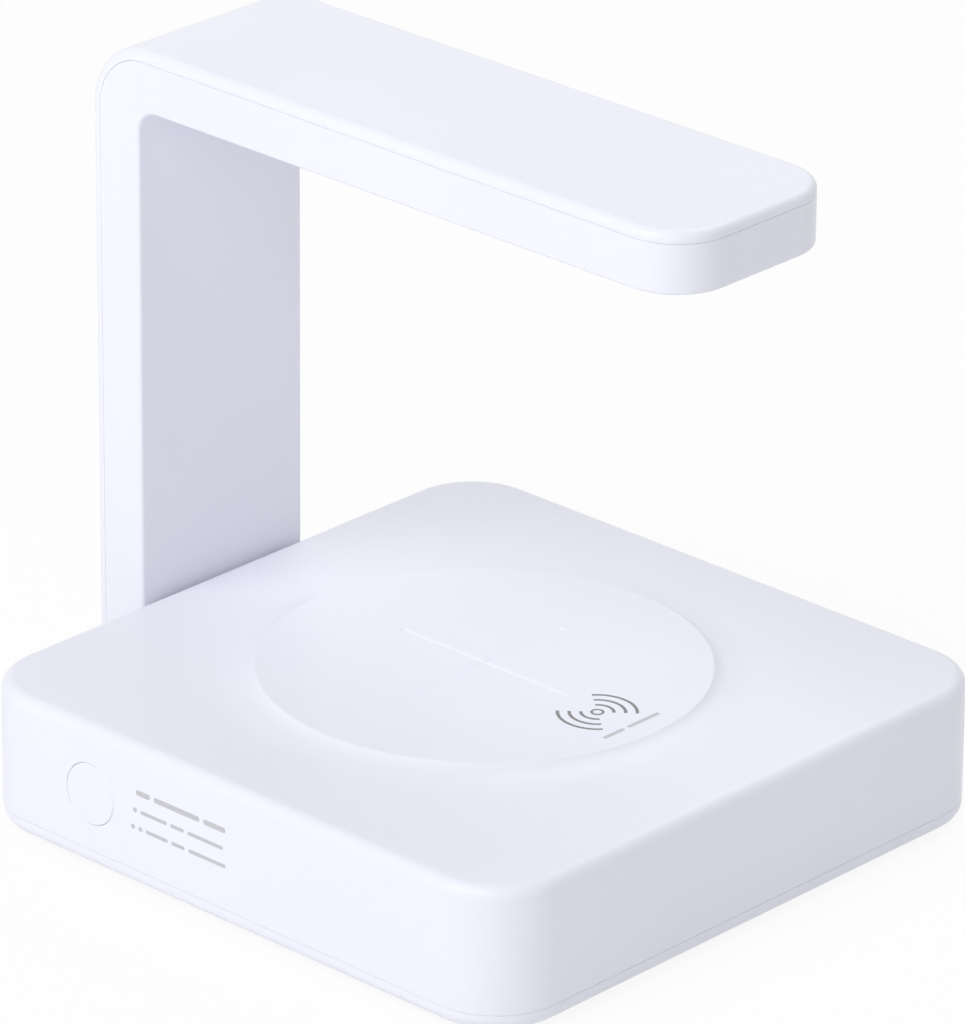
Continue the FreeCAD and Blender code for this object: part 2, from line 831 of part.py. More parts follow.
def usb_socket_shell():
    """Drawn metal shell of the supply inlet."""
    body = new_body("usb_socket_shell")
    outer = centred(inlet_x, inlet_z, d.inlet_width, d.inlet_height, d.inlet_round)
    pad(Draft(body, "shell", "rear", inlet_mouth_y).path(outer), d.inlet_length, toward=-1)
    wall = d.inlet_wall
    inner = centred(
        inlet_x, inlet_z, d.inlet_width - wall * 2, d.inlet_height - wall * 2, d.inlet_round - wall,
    )
    pocket(Draft(body, "mouth", "rear", inlet_mouth_y).path(inner), d.inlet_length - d.inlet_back, toward=-1)


def usb_socket_tongue():
    """Contact tongue on the back wall of the inlet."""
    body = new_body("usb_socket_tongue")
    root = inlet_mouth_y - d.inlet_length + d.inlet_back
    tongue = Draft(body, "blade", "rear", root)
    tongue.path(centred(inlet_x, inlet_z, d.inlet_tongue_width, d.inlet_tongue_height))
    pad(tongue, inlet_mouth_y - d.inlet_tongue_setback - root)


# Coil

def charging_coil():
    """Flat ring of the winding."""
    body = new_body("charging_coil")
    ring = Draft(body, "ring", "level", coil_low_z).circle(CENTRE, CENTRE, d.coil_radius)
    pad(ring.circle(CENTRE, CENTRE, d.coil_inner), d.coil_depth)


def ferrite_shield():
    """Square plate under the coil, slotted for the two coil ends."""
    body = new_body("ferrite_shield")
    side = d.ferrite_side
    plate = Draft(body, "plate", "level", ferrite_low_z).path(centred(CENTRE, CENTRE, side, side))
    pad(plate, d.ferrite_depth)
    slot = Draft(body, "slot", "level", ferrite_low_z)
    slot_end = d.coil_lead - d.coil_inner
    slot.path(box(-d.ferrite_slot / 2, -side / 2 - d.cut_past, d.ferrite_slot / 2, slot_end))
    pocket(slot, d.ferrite_depth)


def coil_leads():
    """The inner and the outer end of the coil, led down through the slot to the main board."""
    body = new_body("coil_leads")
    offset = d.coil_lead_pitch / 2
    wires = Draft(body, "wires", "level", board_z)
    wires.path(centred(-offset, -d.coil_inner - d.coil_lead, d.coil_lead, d.coil_lead))
    wires.path(centred(offset, d.coil_lead - d.coil_radius, d.coil_lead, d.coil_lead))
    pad(wires, coil_low_z - board_z)


# Column and arm

def neck_outline(gap):
    """Return the section of the neck, grown by a gap."""
    spread = Size.of(gap) * 2
    middle = neck_z + d.neck_height / 2
    return centred(CENTRE, middle, d.neck_width + spread, d.neck_height + spread, d.neck_corner + gap)


def lamp_arm_housing():
    """Inner shell of column and arm, open towards its cover, with the lamp opening and the neck."""
    body = new_body("lamp_arm_housing")
    profile = rounded([
        (column_in, column_low),
        (column_seam, column_low),
        (column_seam, arm_seam, seam_bend),
        (tip_y, arm_seam),
        (tip_y, arm_low),
        (column_in, arm_low, d.inner_bend),
    ])
    pad(Draft(body, "bend", "side", CENTRE).path(profile), d.arm_width, symmetric=True)
    hollow_tip = tip_y + d.shell_wall
    hollow = rounded([
        (column_in + d.shell_wall, column_low + d.shell_wall),
        (column_seam + d.cut_past, column_low + d.shell_wall),
        (column_seam + d.cut_past, arm_seam + d.cut_past),
        (hollow_tip, arm_seam + d.cut_past),
        (hollow_tip, arm_floor),
        (column_in + d.shell_wall, arm_floor, d.inner_bend + d.shell_wall),
    ])
    pocket(Draft(body, "hollow", "side", CENTRE).path(hollow), hollow_width, symmetric=True)
    fillet(body, "hollow_corners", d.tip_corner - d.shell_wall, lambda edge: stands_at(edge, hollow_tip))
    fillet(body, "tip_corners", d.tip_corner, lambda edge: stands_at(edge, tip_y))
    opening = centred(CENTRE, window_y, d.window_width, d.window_length, d.window_corner)
    pocket(Draft(body, "lamp_opening", "level", arm_low).path(opening), d.shell_wall)
    led_hooks(body)
    neck(body)


def stands_at(edge, along):
    """Tell whether an edge is an upright line at one place along Y."""
    span = edge.BoundBox
    upright = near(span.XLength, 0.0) and near(span.YLength, 0.0)
    return upright and near(span.YMin, along)


def led_hooks(body):
    """Add a hook over each end of the LED board."""
    hooks = Draft(body, "led_hooks", "side", d.led_hook_offset)
    for sign in SIGNS:
        inner = window_y + (led_board_length / 2 + d.fit_gap) * sign
        outer = inner + d.led_hook_wall * sign
        nose = inner - d.led_hook_nose * sign
        seat = led_board_top + d.touch_gap
        hooks.path(hook_profile(inner, outer, nose, arm_floor - d.post_bite, seat, seat + d.led_hook_cap))
    pad(hooks, d.led_hook_width)


def neck(body):
    """Add the hollow neck that passes through the rear wall of the base and snaps in behind it."""
    pad(Draft(body, "neck", "rear", column_in).path(neck_outline(CENTRE)), column_in - neck_end, toward=-1)
    channel = Draft(body, "channel", "rear", neck_end)
    channel.path(centred(CENTRE, lead_low_z, d.channel_width, d.channel_height))
    pocket(channel, column_in + d.shell_wall + d.cut_past - neck_end)
    catches = Draft(body, "neck_catches", "level", neck_z + (d.neck_height - d.catch_height) / 2)
    along = inside - d.fit_gap - d.catch_length / 2
    depth = d.catch_proud + d.post_bite
    for sign in SIGNS:
        across = (d.neck_width / 2 + d.catch_proud - depth / 2) * sign
        catches.path(centred(across, along, depth, d.catch_length))
    pad(catches, d.catch_height)


def lamp_arm_cover():
    """Outer skin of column and arm, with two rails that drop inside the walls of the housing."""
    body = new_body("lamp_arm_cover")
    profile = rounded([
        (column_seam + d.skin_gap, column_low),
        (column_out, column_low),
        (column_out, arm_top, d.outer_bend),
        (tip_y, arm_top),
        (tip_y, arm_seam + d.skin_gap),
        (column_seam + d.skin_gap, arm_seam + d.skin_gap, seam_bend + d.skin_gap),
    ])
    pad(Draft(body, "skin", "side", CENTRE).path(profile), d.arm_width, symmetric=True)
    fillet(body, "tip_corners", d.tip_corner, lambda edge: stands_at(edge, tip_y))
    fillet(body, "skin_edge", d.skin_round, on_skin_rim)
    rails = Draft(body, "rail", "side", hollow_width / 2 - d.fit_gap - d.rail_wall)
    rail_end = tip_y + d.tip_corner
    rail_low = column_low + d.shell_wall + d.fit_gap
    outer, inner = d.skin_gap + d.post_bite, -d.rail_depth
    rails.path(rounded([
        (column_seam + inner, rail_low),
        (column_seam + outer, rail_low),
        (column_seam + outer, arm_seam + outer, seam_bend + outer),
        (rail_end, arm_seam + outer),
        (rail_end, arm_seam + inner),
        (column_seam + inner, arm_seam + inner, seam_bend + inner),
    ]))
    rail = pad(rails, d.rail_wall)
    pair = body.newObject("PartDesign::Mirrored", "lamp_arm_cover_rails")
    pair.Originals = [rail]
    pair.MirrorPlane = (next(item for item in body.Origin.OriginFeatures if item.Role == "YZ_Plane"), [""])
    before = volume(body)
    body.Tip = pair
    settle(body, before, 1)


def on_skin_rim(edge):
    """Tell whether an edge runs round the outside of the skin: its top, its back or the bend between them."""
    span = edge.BoundBox
    bend = isinstance(edge.Curve, Part.Circle) and near(edge.Curve.Radius, d.outer_bend)
    outside = lies_level(edge, arm_top) or near(span.YMin, column_out) or bend
    return outside and not near(span.XLength, d.arm_width)


# Lamp

def led_board():
    """Long narrow board on the reflector tray."""
    body = new_body("led_board")
    outline = centred(CENTRE, window_y, d.led_board_width, led_board_length)
    pad(Draft(body, "plate", "level", led_board_z).path(outline), d.led_board_depth)


def uv_leds():
    """Row of square LEDs with square panes, under their board."""
    body = new_body("uv_leds")
    cases = Draft(body, "cases", "level", led_board_z)
    panes = Draft(body, "panes", "level", led_board_z - d.led_depth)
    for along in led_rows:
        cases.path(centred(CENTRE, along, d.led_side, d.led_side))
        panes.path(centred(CENTRE, along, d.led_pane, d.led_pane))
    pad(cases, d.led_depth, toward=-1)
    pad(panes, d.led_pane_depth, toward=-1)


def reflector_tray():
    """Tray with sloping walls and an opening round each LED."""
    body = new_body("reflector_tray")
    outline = centred(CENTRE, window_y, tray_width, tray_length)
    pad(Draft(body, "block", "level", tray_z).path(outline), tray_depth)
    mouth = centred(CENTRE, window_y, d.window_width, d.window_length)
    pocket(Draft(body, "well", "level", tray_z).path(mouth), tray_depth - d.tray_plate, slope=-d.tray_slope)
    holes = Draft(body, "led_holes", "level", tray_z)
    side = d.led_side + d.led_hole_gap * 2
    for along in led_rows:
        holes.path(centred(CENTRE, along, side, side))
    pocket(holes, tray_depth + d.cut_past)


def lamp_window():
    """Clear pane that drops into the lamp opening and hangs on its ledge."""
    body = new_body("lamp_window")
    flange = centred(CENTRE, window_y, tray_width, tray_length)
    pad(Draft(body, "ledge", "level", arm_floor).path(flange), d.ledge_depth)
    gap = d.fit_gap * 2
    pane = centred(CENTRE, window_y, d.window_width - gap, d.window_length - gap, d.window_corner - d.fit_gap)
    pad(Draft(body, "pane", "level", arm_floor).path(pane), d.shell_wall - d.window_recess, toward=-1)


def lamp_lead():
    """Flat lead from the LED board, round the bend, down the column and through the neck."""
    body = new_body("lamp_lead")
    start = window_y + led_board_length / 2 - d.led_board_margin / 2
    high = led_board_top + d.touch_gap
    low = lead_low_z - d.lead_depth / 2
    back = (column_in + d.shell_wall + column_seam + d.lead_depth) / 2
    front = back - d.lead_depth
    outer_bend = d.lead_bend + d.lead_depth
    strip = Draft(body, "strip", "side", CENTRE).path(rounded([
        (start, high),
        (front, high, d.lead_bend),
        (front, low + d.lead_depth, d.lead_bend),
        (lamp_header_y, low + d.lead_depth),
        (lamp_header_y, low),
        (back, low, outer_bend),
        (back, high + d.lead_depth, outer_bend),
        (start, high + d.lead_depth),
    ]))
    pad(strip, d.lead_width, symmetric=True)


def build():
    """Build every sub-part."""
    base_housing()
    bottom_cover()
    rubber_feet()
    timer_button()
    tact_switch()
    switch_plunger()
    switch_board()
    switch_lead()
    main_board()
    control_chips()
    resonant_capacitors()
    power_inductor()
    lead_headers()
    usb_socket_shell()
    usb_socket_tongue()
    charging_coil()
    ferrite_shield()
    coil_leads()
    lamp_arm_housing()
    lamp_arm_cover()
    led_board()
    uv_leds()
    reflector_tray()
    lamp_window()
    lamp_lead()
    doc.recompute()


def write():
    """Check every object and write one file for each sub-part."""
    for item in doc.Objects:
        if {"Invalid", "Error"} & set(item.State):
            raise RuntimeError(f"{item.Label} failed: {item.State}")
    for node in nodes:
        if node.Shape.isNull() or not node.Shape.isValid() or not node.Shape.Solids:
            raise RuntimeError(f"{node.Label} has no valid solid")
    os.makedirs("parts", exist_ok=True)
    for node in nodes:
        node.Shape.exportStep(f"parts/{node.Label}.step")
        print(f"{node.Label}: {len(node.Shape.Solids)} solids, {node.Shape.Volume:.1f} mm3")


build()
write()
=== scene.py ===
"""Dressed model of a desk-top sterilizing lamp with a charging pad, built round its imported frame.

Shapes are worked out in millimetres in the frame of the part: +Z up, the lamp column at +Y and
the button at -X.
"""
import logging
import math
from dataclasses import dataclass, field, replace
from enum import Enum
from typing import Any, Iterable, Iterator, Mapping, Optional, Sequence, Union

import bpy
from mathutils import Matrix, Vector
from mathutils.geometry import tessellate_polygon


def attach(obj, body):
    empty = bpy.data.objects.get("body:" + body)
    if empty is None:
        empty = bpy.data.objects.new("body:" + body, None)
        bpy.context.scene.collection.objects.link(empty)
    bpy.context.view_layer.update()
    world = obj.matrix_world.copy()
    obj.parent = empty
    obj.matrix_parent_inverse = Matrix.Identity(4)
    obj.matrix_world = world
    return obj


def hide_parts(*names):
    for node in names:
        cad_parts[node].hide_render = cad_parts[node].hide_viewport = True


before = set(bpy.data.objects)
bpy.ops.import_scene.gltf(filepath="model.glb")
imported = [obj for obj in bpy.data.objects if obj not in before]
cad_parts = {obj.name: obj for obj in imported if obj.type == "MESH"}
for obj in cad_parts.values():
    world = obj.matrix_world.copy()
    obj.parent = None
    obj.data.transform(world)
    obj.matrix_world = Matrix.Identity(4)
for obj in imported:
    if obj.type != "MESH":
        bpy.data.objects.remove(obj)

LOG = logging.getLogger("sterilizer")
MM = 0.001
X = Vector((1.0, 0.0, 0.0))
Y = Vector((0.0, 1.0, 0.0))
Z = Vector((0.0, 0.0, 1.0))
FULL_TURN = 2 * math.pi
QUARTER_TURN = math.pi / 2
QUARTERS = ((1, 1), (-1, 1), (-1, -1), (1, -1))
WHITE = (1.0, 1.0, 1.0, 1.0)

# Points closer than a millimetre over this number fall together
MERGE = 1e4

# Sockets of a Mix node that carry colours
MIX_FIRST, MIX_SECOND, MIX_RESULT = 6, 7, 2

# Chords per corner of a plan, rounding of a section, hair-fine rounding, circle, pad and bend
CORNER_STEPS = 20
ROUND_STEPS = 8
HAIR_STEPS = 4
CIRCLE_STEPS = 72
PAD_STEPS = 192
BEND_STEPS = 24

# Room for printed marks inside the outermost faces, and the middle of the base
PRINT_ROOM = 0.02
BASE_Y = -5.9
BASE_CENTRE = Vector((0.0, BASE_Y, 0.0))

Colour = tuple[float, float, float]
Row = list[Vector]
Mark = tuple[Vector, Vector]


class Body(Enum):
    """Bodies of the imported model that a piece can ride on."""

    STAND = "stand"
    BUTTON = "button"


class Slot(Enum):
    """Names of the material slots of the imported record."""

    SHELL = "shell_white"
    BUTTON = "button_white"
    FOOT = "foot_rubber"
    INLET = "inlet_steel"
    PANE = "window_clear"


class Measure(Enum):
    """Where the distance within cells is measured from."""

    MIDDLES = "F1"
    EDGES = "DISTANCE_TO_EDGE"


class Turn(Enum):
    """Which way a rounded corner of a section bends as one walks along it."""

    LEFT = 1
    RIGHT = -1


class End(Enum):
    """The two faces of the bent lamp arm: the one over the pad and the one away from it."""

    LOW = "low"
    HIGH = "high"


# Shader expressions

class Wire:
    """A shader socket that takes part in sums, so that a mask is written as an expression."""

    def __init__(self, recipe: "Recipe", socket: bpy.types.NodeSocket) -> None:
        """Keep the socket and the recipe that it belongs to."""
        self.recipe = recipe
        self.socket = socket

    def __add__(self, other: "Term") -> "Wire":
        """Return self + other."""
        return self.recipe.math("ADD", self, other)

    def __radd__(self, other: "Term") -> "Wire":
        """Return other + self."""
        return self.recipe.math("ADD", other, self)

    def __sub__(self, other: "Term") -> "Wire":
        """Return self - other."""
        return self.recipe.math("SUBTRACT", self, other)

    def __rsub__(self, other: "Term") -> "Wire":
        """Return other - self."""
        return self.recipe.math("SUBTRACT", other, self)

    def __mul__(self, other: "Term") -> "Wire":
        """Return self * other."""
        return self.recipe.math("MULTIPLY", self, other)

    def __rmul__(self, other: "Term") -> "Wire":
        """Return other * self."""
        return self.recipe.math("MULTIPLY", other, self)

    def __truediv__(self, other: "Term") -> "Wire":
        """Return self / other."""
        return self.recipe.math("DIVIDE", self, other)

    def __rtruediv__(self, other: "Term") -> "Wire":
        """Return other / self."""
        return self.recipe.math("DIVIDE", other, self)

    def __pow__(self, other: "Term") -> "Wire":
        """Return self to the power of other."""
        return self.recipe.math("POWER", self, other)

    def __rpow__(self, other: "Term") -> "Wire":
        """Return other to the power of self."""
        return self.recipe.math("POWER", other, self)

    def __abs__(self) -> "Wire":
        """Return the size of self without its sign."""
        return self.recipe.math("ABSOLUTE", self)


Term = Union[Wire, float, Sequence[float]]


class Recipe:
    """Node tree of one material, filled through expressions."""

    def __init__(self, tree: bpy.types.NodeTree) -> None:
        """Start from an empty tree.

        Args:
            tree: the node tree to fill.
        """
        self.tree = tree
        tree.nodes.clear()

    def node(
        self,
        kind: str,
        settings: Optional[dict[str, Any]] = None,
        sockets: Optional[dict[Union[str, int], Term]] = None,
        out: Union[str, int] = 0,
    ) -> Wire:
        """Add a node, with its settings first and its sockets after them.

        Args:
            kind: type of the node.
            settings: attributes to set, such as an operation.
            sockets: values or wires for input sockets, by name or number.
            out: output socket to return.

        Returns:
            The chosen output as a wire.
        """
        made = self.tree.nodes.new(kind)
        for name, value in (settings or {}).items():
            setattr(made, name, value)
        for name, value in (sockets or {}).items():
            if isinstance(value, Wire):
                self.tree.links.new(value.socket, made.inputs[name])
            else:
                made.inputs[name].default_value = value
        return Wire(self, made.outputs[out] if made.outputs else made.inputs[0])

    def math(self, operation: str, *terms: Term) -> Wire:
        """Return a Math node on one or two terms."""
        return self.node("ShaderNodeMath", {"operation": operation}, dict(enumerate(terms)))

    def place(self) -> Wire:
        """Return the place on the object, in metres."""
        return self.node("ShaderNodeTexCoord", out="Object")

    def stretch(self, place: Wire, factors: Colour) -> Wire:
        """Return a place scaled along each axis."""
        return self.node("ShaderNodeVectorMath", {"operation": "MULTIPLY"}, {0: place, 1: factors})

    def axis(self, place: Wire, name: str) -> Wire:
        """Return one coordinate of a place."""
        return self.node("ShaderNodeSeparateXYZ", sockets={0: place}, out=name)

    def step(self, value: Wire, low: float, high: float) -> Wire:
        """Return a smooth mask along a value.

        Args:
            value: what the mask follows.
            low: value where the mask starts to rise from 0.
            high: value where it reaches 1.

        Returns:
            The mask.
        """
        sockets = {"Value": value, "From Min": low, "From Max": high}
        settings = {"interpolation_type": "SMOOTHSTEP", "clamp": True}
        return self.node("ShaderNodeMapRange", settings, sockets)

    def blend(self, mask: Term, first: Term, second: Term) -> Wire:
        """Return a colour that goes from first to second with a mask.

        Args:
            mask: 0 for the first colour, 1 for the second.
            first: colour or wire.
            second: colour or wire.

        Returns:
            The mixed colour.
        """
        ends = [term if isinstance(term, Wire) else (*term, 1.0) for term in (first, second)]
        sockets = {0: mask, MIX_FIRST: ends[0], MIX_SECOND: ends[1]}
        return self.node("ShaderNodeMix", {"data_type": "RGBA"}, sockets, MIX_RESULT)

    def bump(self, height: Wire, depth: float) -> Wire:
        """Return a normal raised by a height between 0 and 1, with the rise in metres at 1."""
        return self.node("ShaderNodeBump", sockets={"Height": height, "Distance": depth})

    def surface(self, **sockets: Term) -> None:
        """End the recipe in one Principled shader.

        Args:
            sockets: inputs of the shader, with _ for each space in their names.
        """
        named = {name.replace("_", " "): value for name, value in sockets.items()}
        shader = self.node("ShaderNodeBsdfPrincipled", sockets=named)
        self.node("ShaderNodeOutputMaterial", sockets={"Surface": shader})


# Finishes

@dataclass(frozen=True)
class Clouds:
    """A layer of soft noise, with its cells per metre, its finer layers and their strength."""

    scale: float
    detail: float = 2.0
    rough: float = 0.5
    stretch: Optional[Colour] = None

    def lay(self, recipe: Recipe) -> Wire:
        """Lay the noise over the object.

        Args:
            recipe: the recipe to lay it in.

        Returns:
            The layer as a value between 0 and 1.
        """
        place = recipe.place()
        if self.stretch:
            place = recipe.stretch(place, self.stretch)
        sockets = {
            "Vector": place, "Scale": self.scale, "Detail": self.detail, "Roughness": self.rough,
        }
        return recipe.node("ShaderNodeTexNoise", {"noise_dimensions": "3D"}, sockets, "Fac")


@dataclass(frozen=True)
class Ribs:
    """A layer of even ribs."""

    scale: float
    distortion: float = 0.0

    def lay(self, recipe: Recipe) -> Wire:
        """Return the layer as a value between 0 and 1."""
        sockets = {"Vector": recipe.place(), "Scale": self.scale, "Distortion": self.distortion}
        return recipe.node("ShaderNodeTexWave", {"wave_type": "BANDS"}, sockets, "Fac")


@dataclass(frozen=True)
class Cells:
    """A layer of cells, measured from their middles or from the edges between them."""

    scale: float
    measure: Measure = Measure.MIDDLES
    randomness: float = 1.0

    def lay(self, recipe: Recipe) -> Wire:
        """Lay the cells over the object.

        Args:
            recipe: the recipe to lay them in.

        Returns:
            The distance within the cells.
        """
        sockets = {"Vector": recipe.place(), "Scale": self.scale, "Randomness": self.randomness}
        settings = {"feature": self.measure.value}
        return recipe.node("ShaderNodeTexVoronoi", settings, sockets, "Distance")


Layer = Union[Clouds, Ribs, Cells]


@dataclass(frozen=True)
class Finish:
    """A finish that makes its own material once."""

    name: str

    def material(self) -> bpy.types.Material:
        """Find the material of this finish, or make it on first use.

        Returns:
            The material.
        """
        found = bpy.data.materials.get(self.name)
        if found is None:
            found = bpy.data.materials.new(self.name)
            found.use_nodes = True
            self.mix(Recipe(found.node_tree))
        return found

    def mix(self, recipe: Recipe) -> None:
        """Fill the node tree of the material."""
        raise NotImplementedError


@dataclass(frozen=True)
class MouldedGloss(Finish):
    """Polished white plastic, with slight flow clouds, handling marks and orange peel."""

    tint: Colour = (0.845, 0.853, 0.945)
    cloud_tint: Colour = (0.865, 0.873, 0.955)
    clouds: Clouds = Clouds(22.0, 3.0, stretch=(1.0, 1.0, 0.4))
    cloud_edge: tuple[float, float] = (0.3, 0.7)
    specks: Clouds = Clouds(2400.0, 1.0)
    speck_share: float = 0.15
    gloss: float = 0.3
    wipe: float = 0.08
    wipes: Clouds = Clouds(55.0, 4.0, 0.6, (1.0, 3.5, 1.0))
    index: float = 1.5
    shine: float = 0.3
    peel: Clouds = Clouds(460.0, 1.0)
    peel_specks: float = 0.1
    peel_depth: float = 2.5e-6

    def mix(self, recipe: Recipe) -> None:
        """Cloud the colour, vary the gloss and ripple the skin a little.

        Args:
            recipe: the recipe to fill.
        """
        specks = self.specks.lay(recipe)
        clouds = self.clouds.lay(recipe) * (1.0 - self.speck_share) + specks * self.speck_share
        ripple = self.peel.lay(recipe) + specks * self.peel_specks
        mask = recipe.step(clouds, *self.cloud_edge)
        recipe.surface(
            Base_Color=recipe.blend(mask, self.tint, self.cloud_tint),
            Roughness=self.gloss - self.wipe / 2 + self.wipes.lay(recipe) * self.wipe,
            IOR=self.index,
            Specular_IOR_Level=self.shine,
            Normal=recipe.bump(ripple, self.peel_depth),
        )


@dataclass(frozen=True)
class Patchy(Finish):
    """Two tints that meet in soft patches, over a skin grained by a layer or by the patches."""

    tint: Colour
    patch_tint: Colour
    patches: Layer
    patch_edge: tuple[float, float]
    depth: float
    rough: float
    patch_rough: float = 0.0
    grain: Optional[Layer] = None
    grain_rough: float = 0.0
    fixed: Mapping[str, float] = field(default_factory=dict)

    def mix(self, recipe: Recipe) -> None:
        """Patch the colour, vary the gloss and grain the skin.

        Args:
            recipe: the recipe to fill.
        """
        patches = self.patches.lay(recipe)
        grain = self.grain.lay(recipe) if self.grain else patches
        rough: Term = self.rough
        for layer, share in ((patches, self.patch_rough), (grain, self.grain_rough)):
            if share:
                rough = rough + layer * share
        mask = recipe.step(patches, *self.patch_edge)
        recipe.surface(
            Base_Color=recipe.blend(mask, self.tint, self.patch_tint),
            Roughness=rough,
            Normal=recipe.bump(grain, self.depth),
            **self.fixed,
        )


@dataclass(frozen=True)
class BoardMask(Finish):
    """Solder mask over glass fibre, with copper tracks that show through."""

    mask_tint: Colour = (0.02, 0.16, 0.07)
    track_tint: Colour = (0.05, 0.30, 0.13)
    tracks: Cells = Cells(230.0, Measure.EDGES, 0.55)
    track_edge: tuple[float, float] = (0.05, 0.09)
    cloth: Ribs = Ribs(1500.0, 0.4)
    cloth_share: float = 0.12
    patches: Clouds = Clouds(90.0)
    patch_share: float = 0.25
    rough: float = 0.28
    patch_rough: float = 0.14
    depth: float = 3.0e-5

    def mix(self, recipe: Recipe) -> None:
        """Run tracks under the mask, and a weave under both.

        Args:
            recipe: the recipe to fill.
        """
        tracks = 1.0 - recipe.step(self.tracks.lay(recipe), *self.track_edge)
        patches = self.patches.lay(recipe)
        tint = recipe.blend(tracks, self.mask_tint, self.track_tint)
        relief = tracks + self.cloth.lay(recipe) * self.cloth_share
        recipe.surface(
            Base_Color=recipe.blend(patches * self.patch_share, tint, self.track_tint),
            Roughness=self.rough + patches * self.patch_rough,
            Normal=recipe.bump(relief, self.depth),
        )


@dataclass(frozen=True)
class WoundCopper(Finish):
    """Enamelled copper wire, wound in turns about the upright axis of the pad, with painted shade
    in the gaps between turns.
    """

    tint: Colour = (0.70, 0.30, 0.12)
    # Dark colour of the enamel blush, also used as painted shade in the gaps between turns
    enamel_and_gap_shade: Colour = (0.42, 0.13, 0.04)
    turn_pitch: float = 0.9
    blush: Clouds = Clouds(300.0, 3.0)
    blush_share: float = 0.3
    metallic: float = 0.85
    rough: float = 0.3
    blush_rough: float = 0.12
    depth: float = 2.0e-4

    def mix(self, recipe: Recipe) -> None:
        """Paint shade into the gaps between turns by darkening the colour there, and vary the
        enamel.

        Args:
            recipe: the recipe to fill.
        """
        shift = {0: recipe.place(), 1: -BASE_CENTRE * MM}
        middle = recipe.node("ShaderNodeVectorMath", {"operation": "ADD"}, shift)
        level = {0: recipe.stretch(middle, (1.0, 1.0, 0.0))}
        radius = recipe.node("ShaderNodeVectorMath", {"operation": "LENGTH"}, level, "Value")
        phase = recipe.math("FRACT", radius / (self.turn_pitch * MM))
        crown = 1.0 - abs(phase * 2.0 - 1.0) ** 2.0
        blush = self.blush.lay(recipe)
        # The colour darkens from the crest of each turn into the gap: painted shade, mixed with the
        # random blush
        mask = crown * (1.0 - self.blush_share) + blush * self.blush_share
        recipe.surface(
            Base_Color=recipe.blend(mask, self.enamel_and_gap_shade, self.tint),
            Metallic=self.metallic,
            Roughness=self.rough + blush * self.blush_rough,
            Normal=recipe.bump(crown, self.depth),
        )


@dataclass(frozen=True)
class LedPackage(Finish):
    """Ceramic package with a violet-tinted lens below it."""

    ceramic: Colour = (0.78, 0.77, 0.70)
    fired: Colour = (0.66, 0.65, 0.60)
    lens: Colour = (0.36, 0.30, 0.62)
    lens_edge: tuple[float, float] = (119.1, 119.15)
    grain: Clouds = Clouds(2600.0)
    fired_share: float = 0.3
    rough: float = 0.5
    lens_gloss: float = 0.38
    grain_rough: float = 0.08
    depth: float = 8.0e-6

    def mix(self, recipe: Recipe) -> None:
        """Tint the part below the lens line and speckle the ceramic.

        Args:
            recipe: the recipe to fill.
        """
        height = recipe.axis(recipe.place(), "Z")
        lens = 1.0 - recipe.step(height, *(level * MM for level in self.lens_edge))
        grain = self.grain.lay(recipe)
        body = recipe.blend(grain * self.fired_share, self.ceramic, self.fired)
        recipe.surface(
            Base_Color=recipe.blend(lens, body, self.lens),
            Roughness=self.rough - lens * self.lens_gloss + grain * self.grain_rough,
            Normal=recipe.bump(grain * (1.0 - lens), self.depth),
        )


HOUSING = MouldedGloss("housing_white")
KEY_CAP = MouldedGloss("key_cap_white", gloss=0.26, wipe=0.1, peel_depth=4.0e-6)
BOARD = BoardMask("board_mask")
COPPER = WoundCopper("wound_copper")
LED = LedPackage("led_package")

# Matt silicone with a fine tooth and dust in its hollows
RUBBER = Patchy(
    "foot_silicone", tint=(0.50, 0.50, 0.53), patch_tint=(0.62, 0.62, 0.63),
    patches=Clouds(160.0, 3.0), patch_edge=(0.35, 0.75), rough=0.68, patch_rough=0.2,
    grain=Clouds(3200.0), depth=2.0e-5,
)
# Formed and plated sheet metal, drawn along one axis and dulled in patches
STEEL = Patchy(
    "inlet_plate", tint=(0.66, 0.66, 0.68), patch_tint=(0.52, 0.52, 0.55),
    patches=Clouds(420.0, 3.0), patch_edge=(0.4, 0.75), rough=0.2, patch_rough=0.08,
    grain=Clouds(5200.0, 3.0, stretch=(1.0, 0.06, 1.0)), grain_rough=0.16, depth=3.0e-6,
    fixed={"Metallic": 1.0},
)
# Black moulded plastic with a spark-eroded grain, rubbed at its high spots
DARK = Patchy(
    "dark_mould", tint=(0.022, 0.022, 0.025), patch_tint=(0.05, 0.05, 0.054),
    patches=Clouds(260.0, 3.0), patch_edge=(0.45, 0.8), rough=0.42,
    grain=Clouds(4200.0), grain_rough=0.2, depth=1.2e-5,
)
# Pressed and fired ferrite, dark and slightly sparkling
FERRITE = Patchy(
    "fired_ferrite", tint=(0.16, 0.16, 0.18), patch_tint=(0.045, 0.045, 0.05),
    patches=Cells(1800.0), patch_edge=(0.25, 0.75), rough=0.5, patch_rough=0.2, depth=1.5e-5,
)
# Soft white insulation with faint ribs from its extrusion, soiled a little
LEAD = Patchy(
    "lead_insulation", tint=(0.74, 0.74, 0.73), patch_tint=(0.64, 0.63, 0.61),
    patches=Clouds(130.0, 4.0), patch_edge=(0.4, 0.8), rough=0.45, patch_rough=0.15,
    grain=Ribs(260.0), depth=6.0e-5,
)
# Satin white moulding of the reflector and the plug headers
SATIN = Patchy(
    "satin_white", tint=(0.80, 0.80, 0.80), patch_tint=(0.74, 0.74, 0.75),
    patches=Clouds(120.0, 3.0), patch_edge=(0.35, 0.75), rough=0.36,
    grain=Clouds(2800.0), grain_rough=0.14, depth=6.0e-6,
)
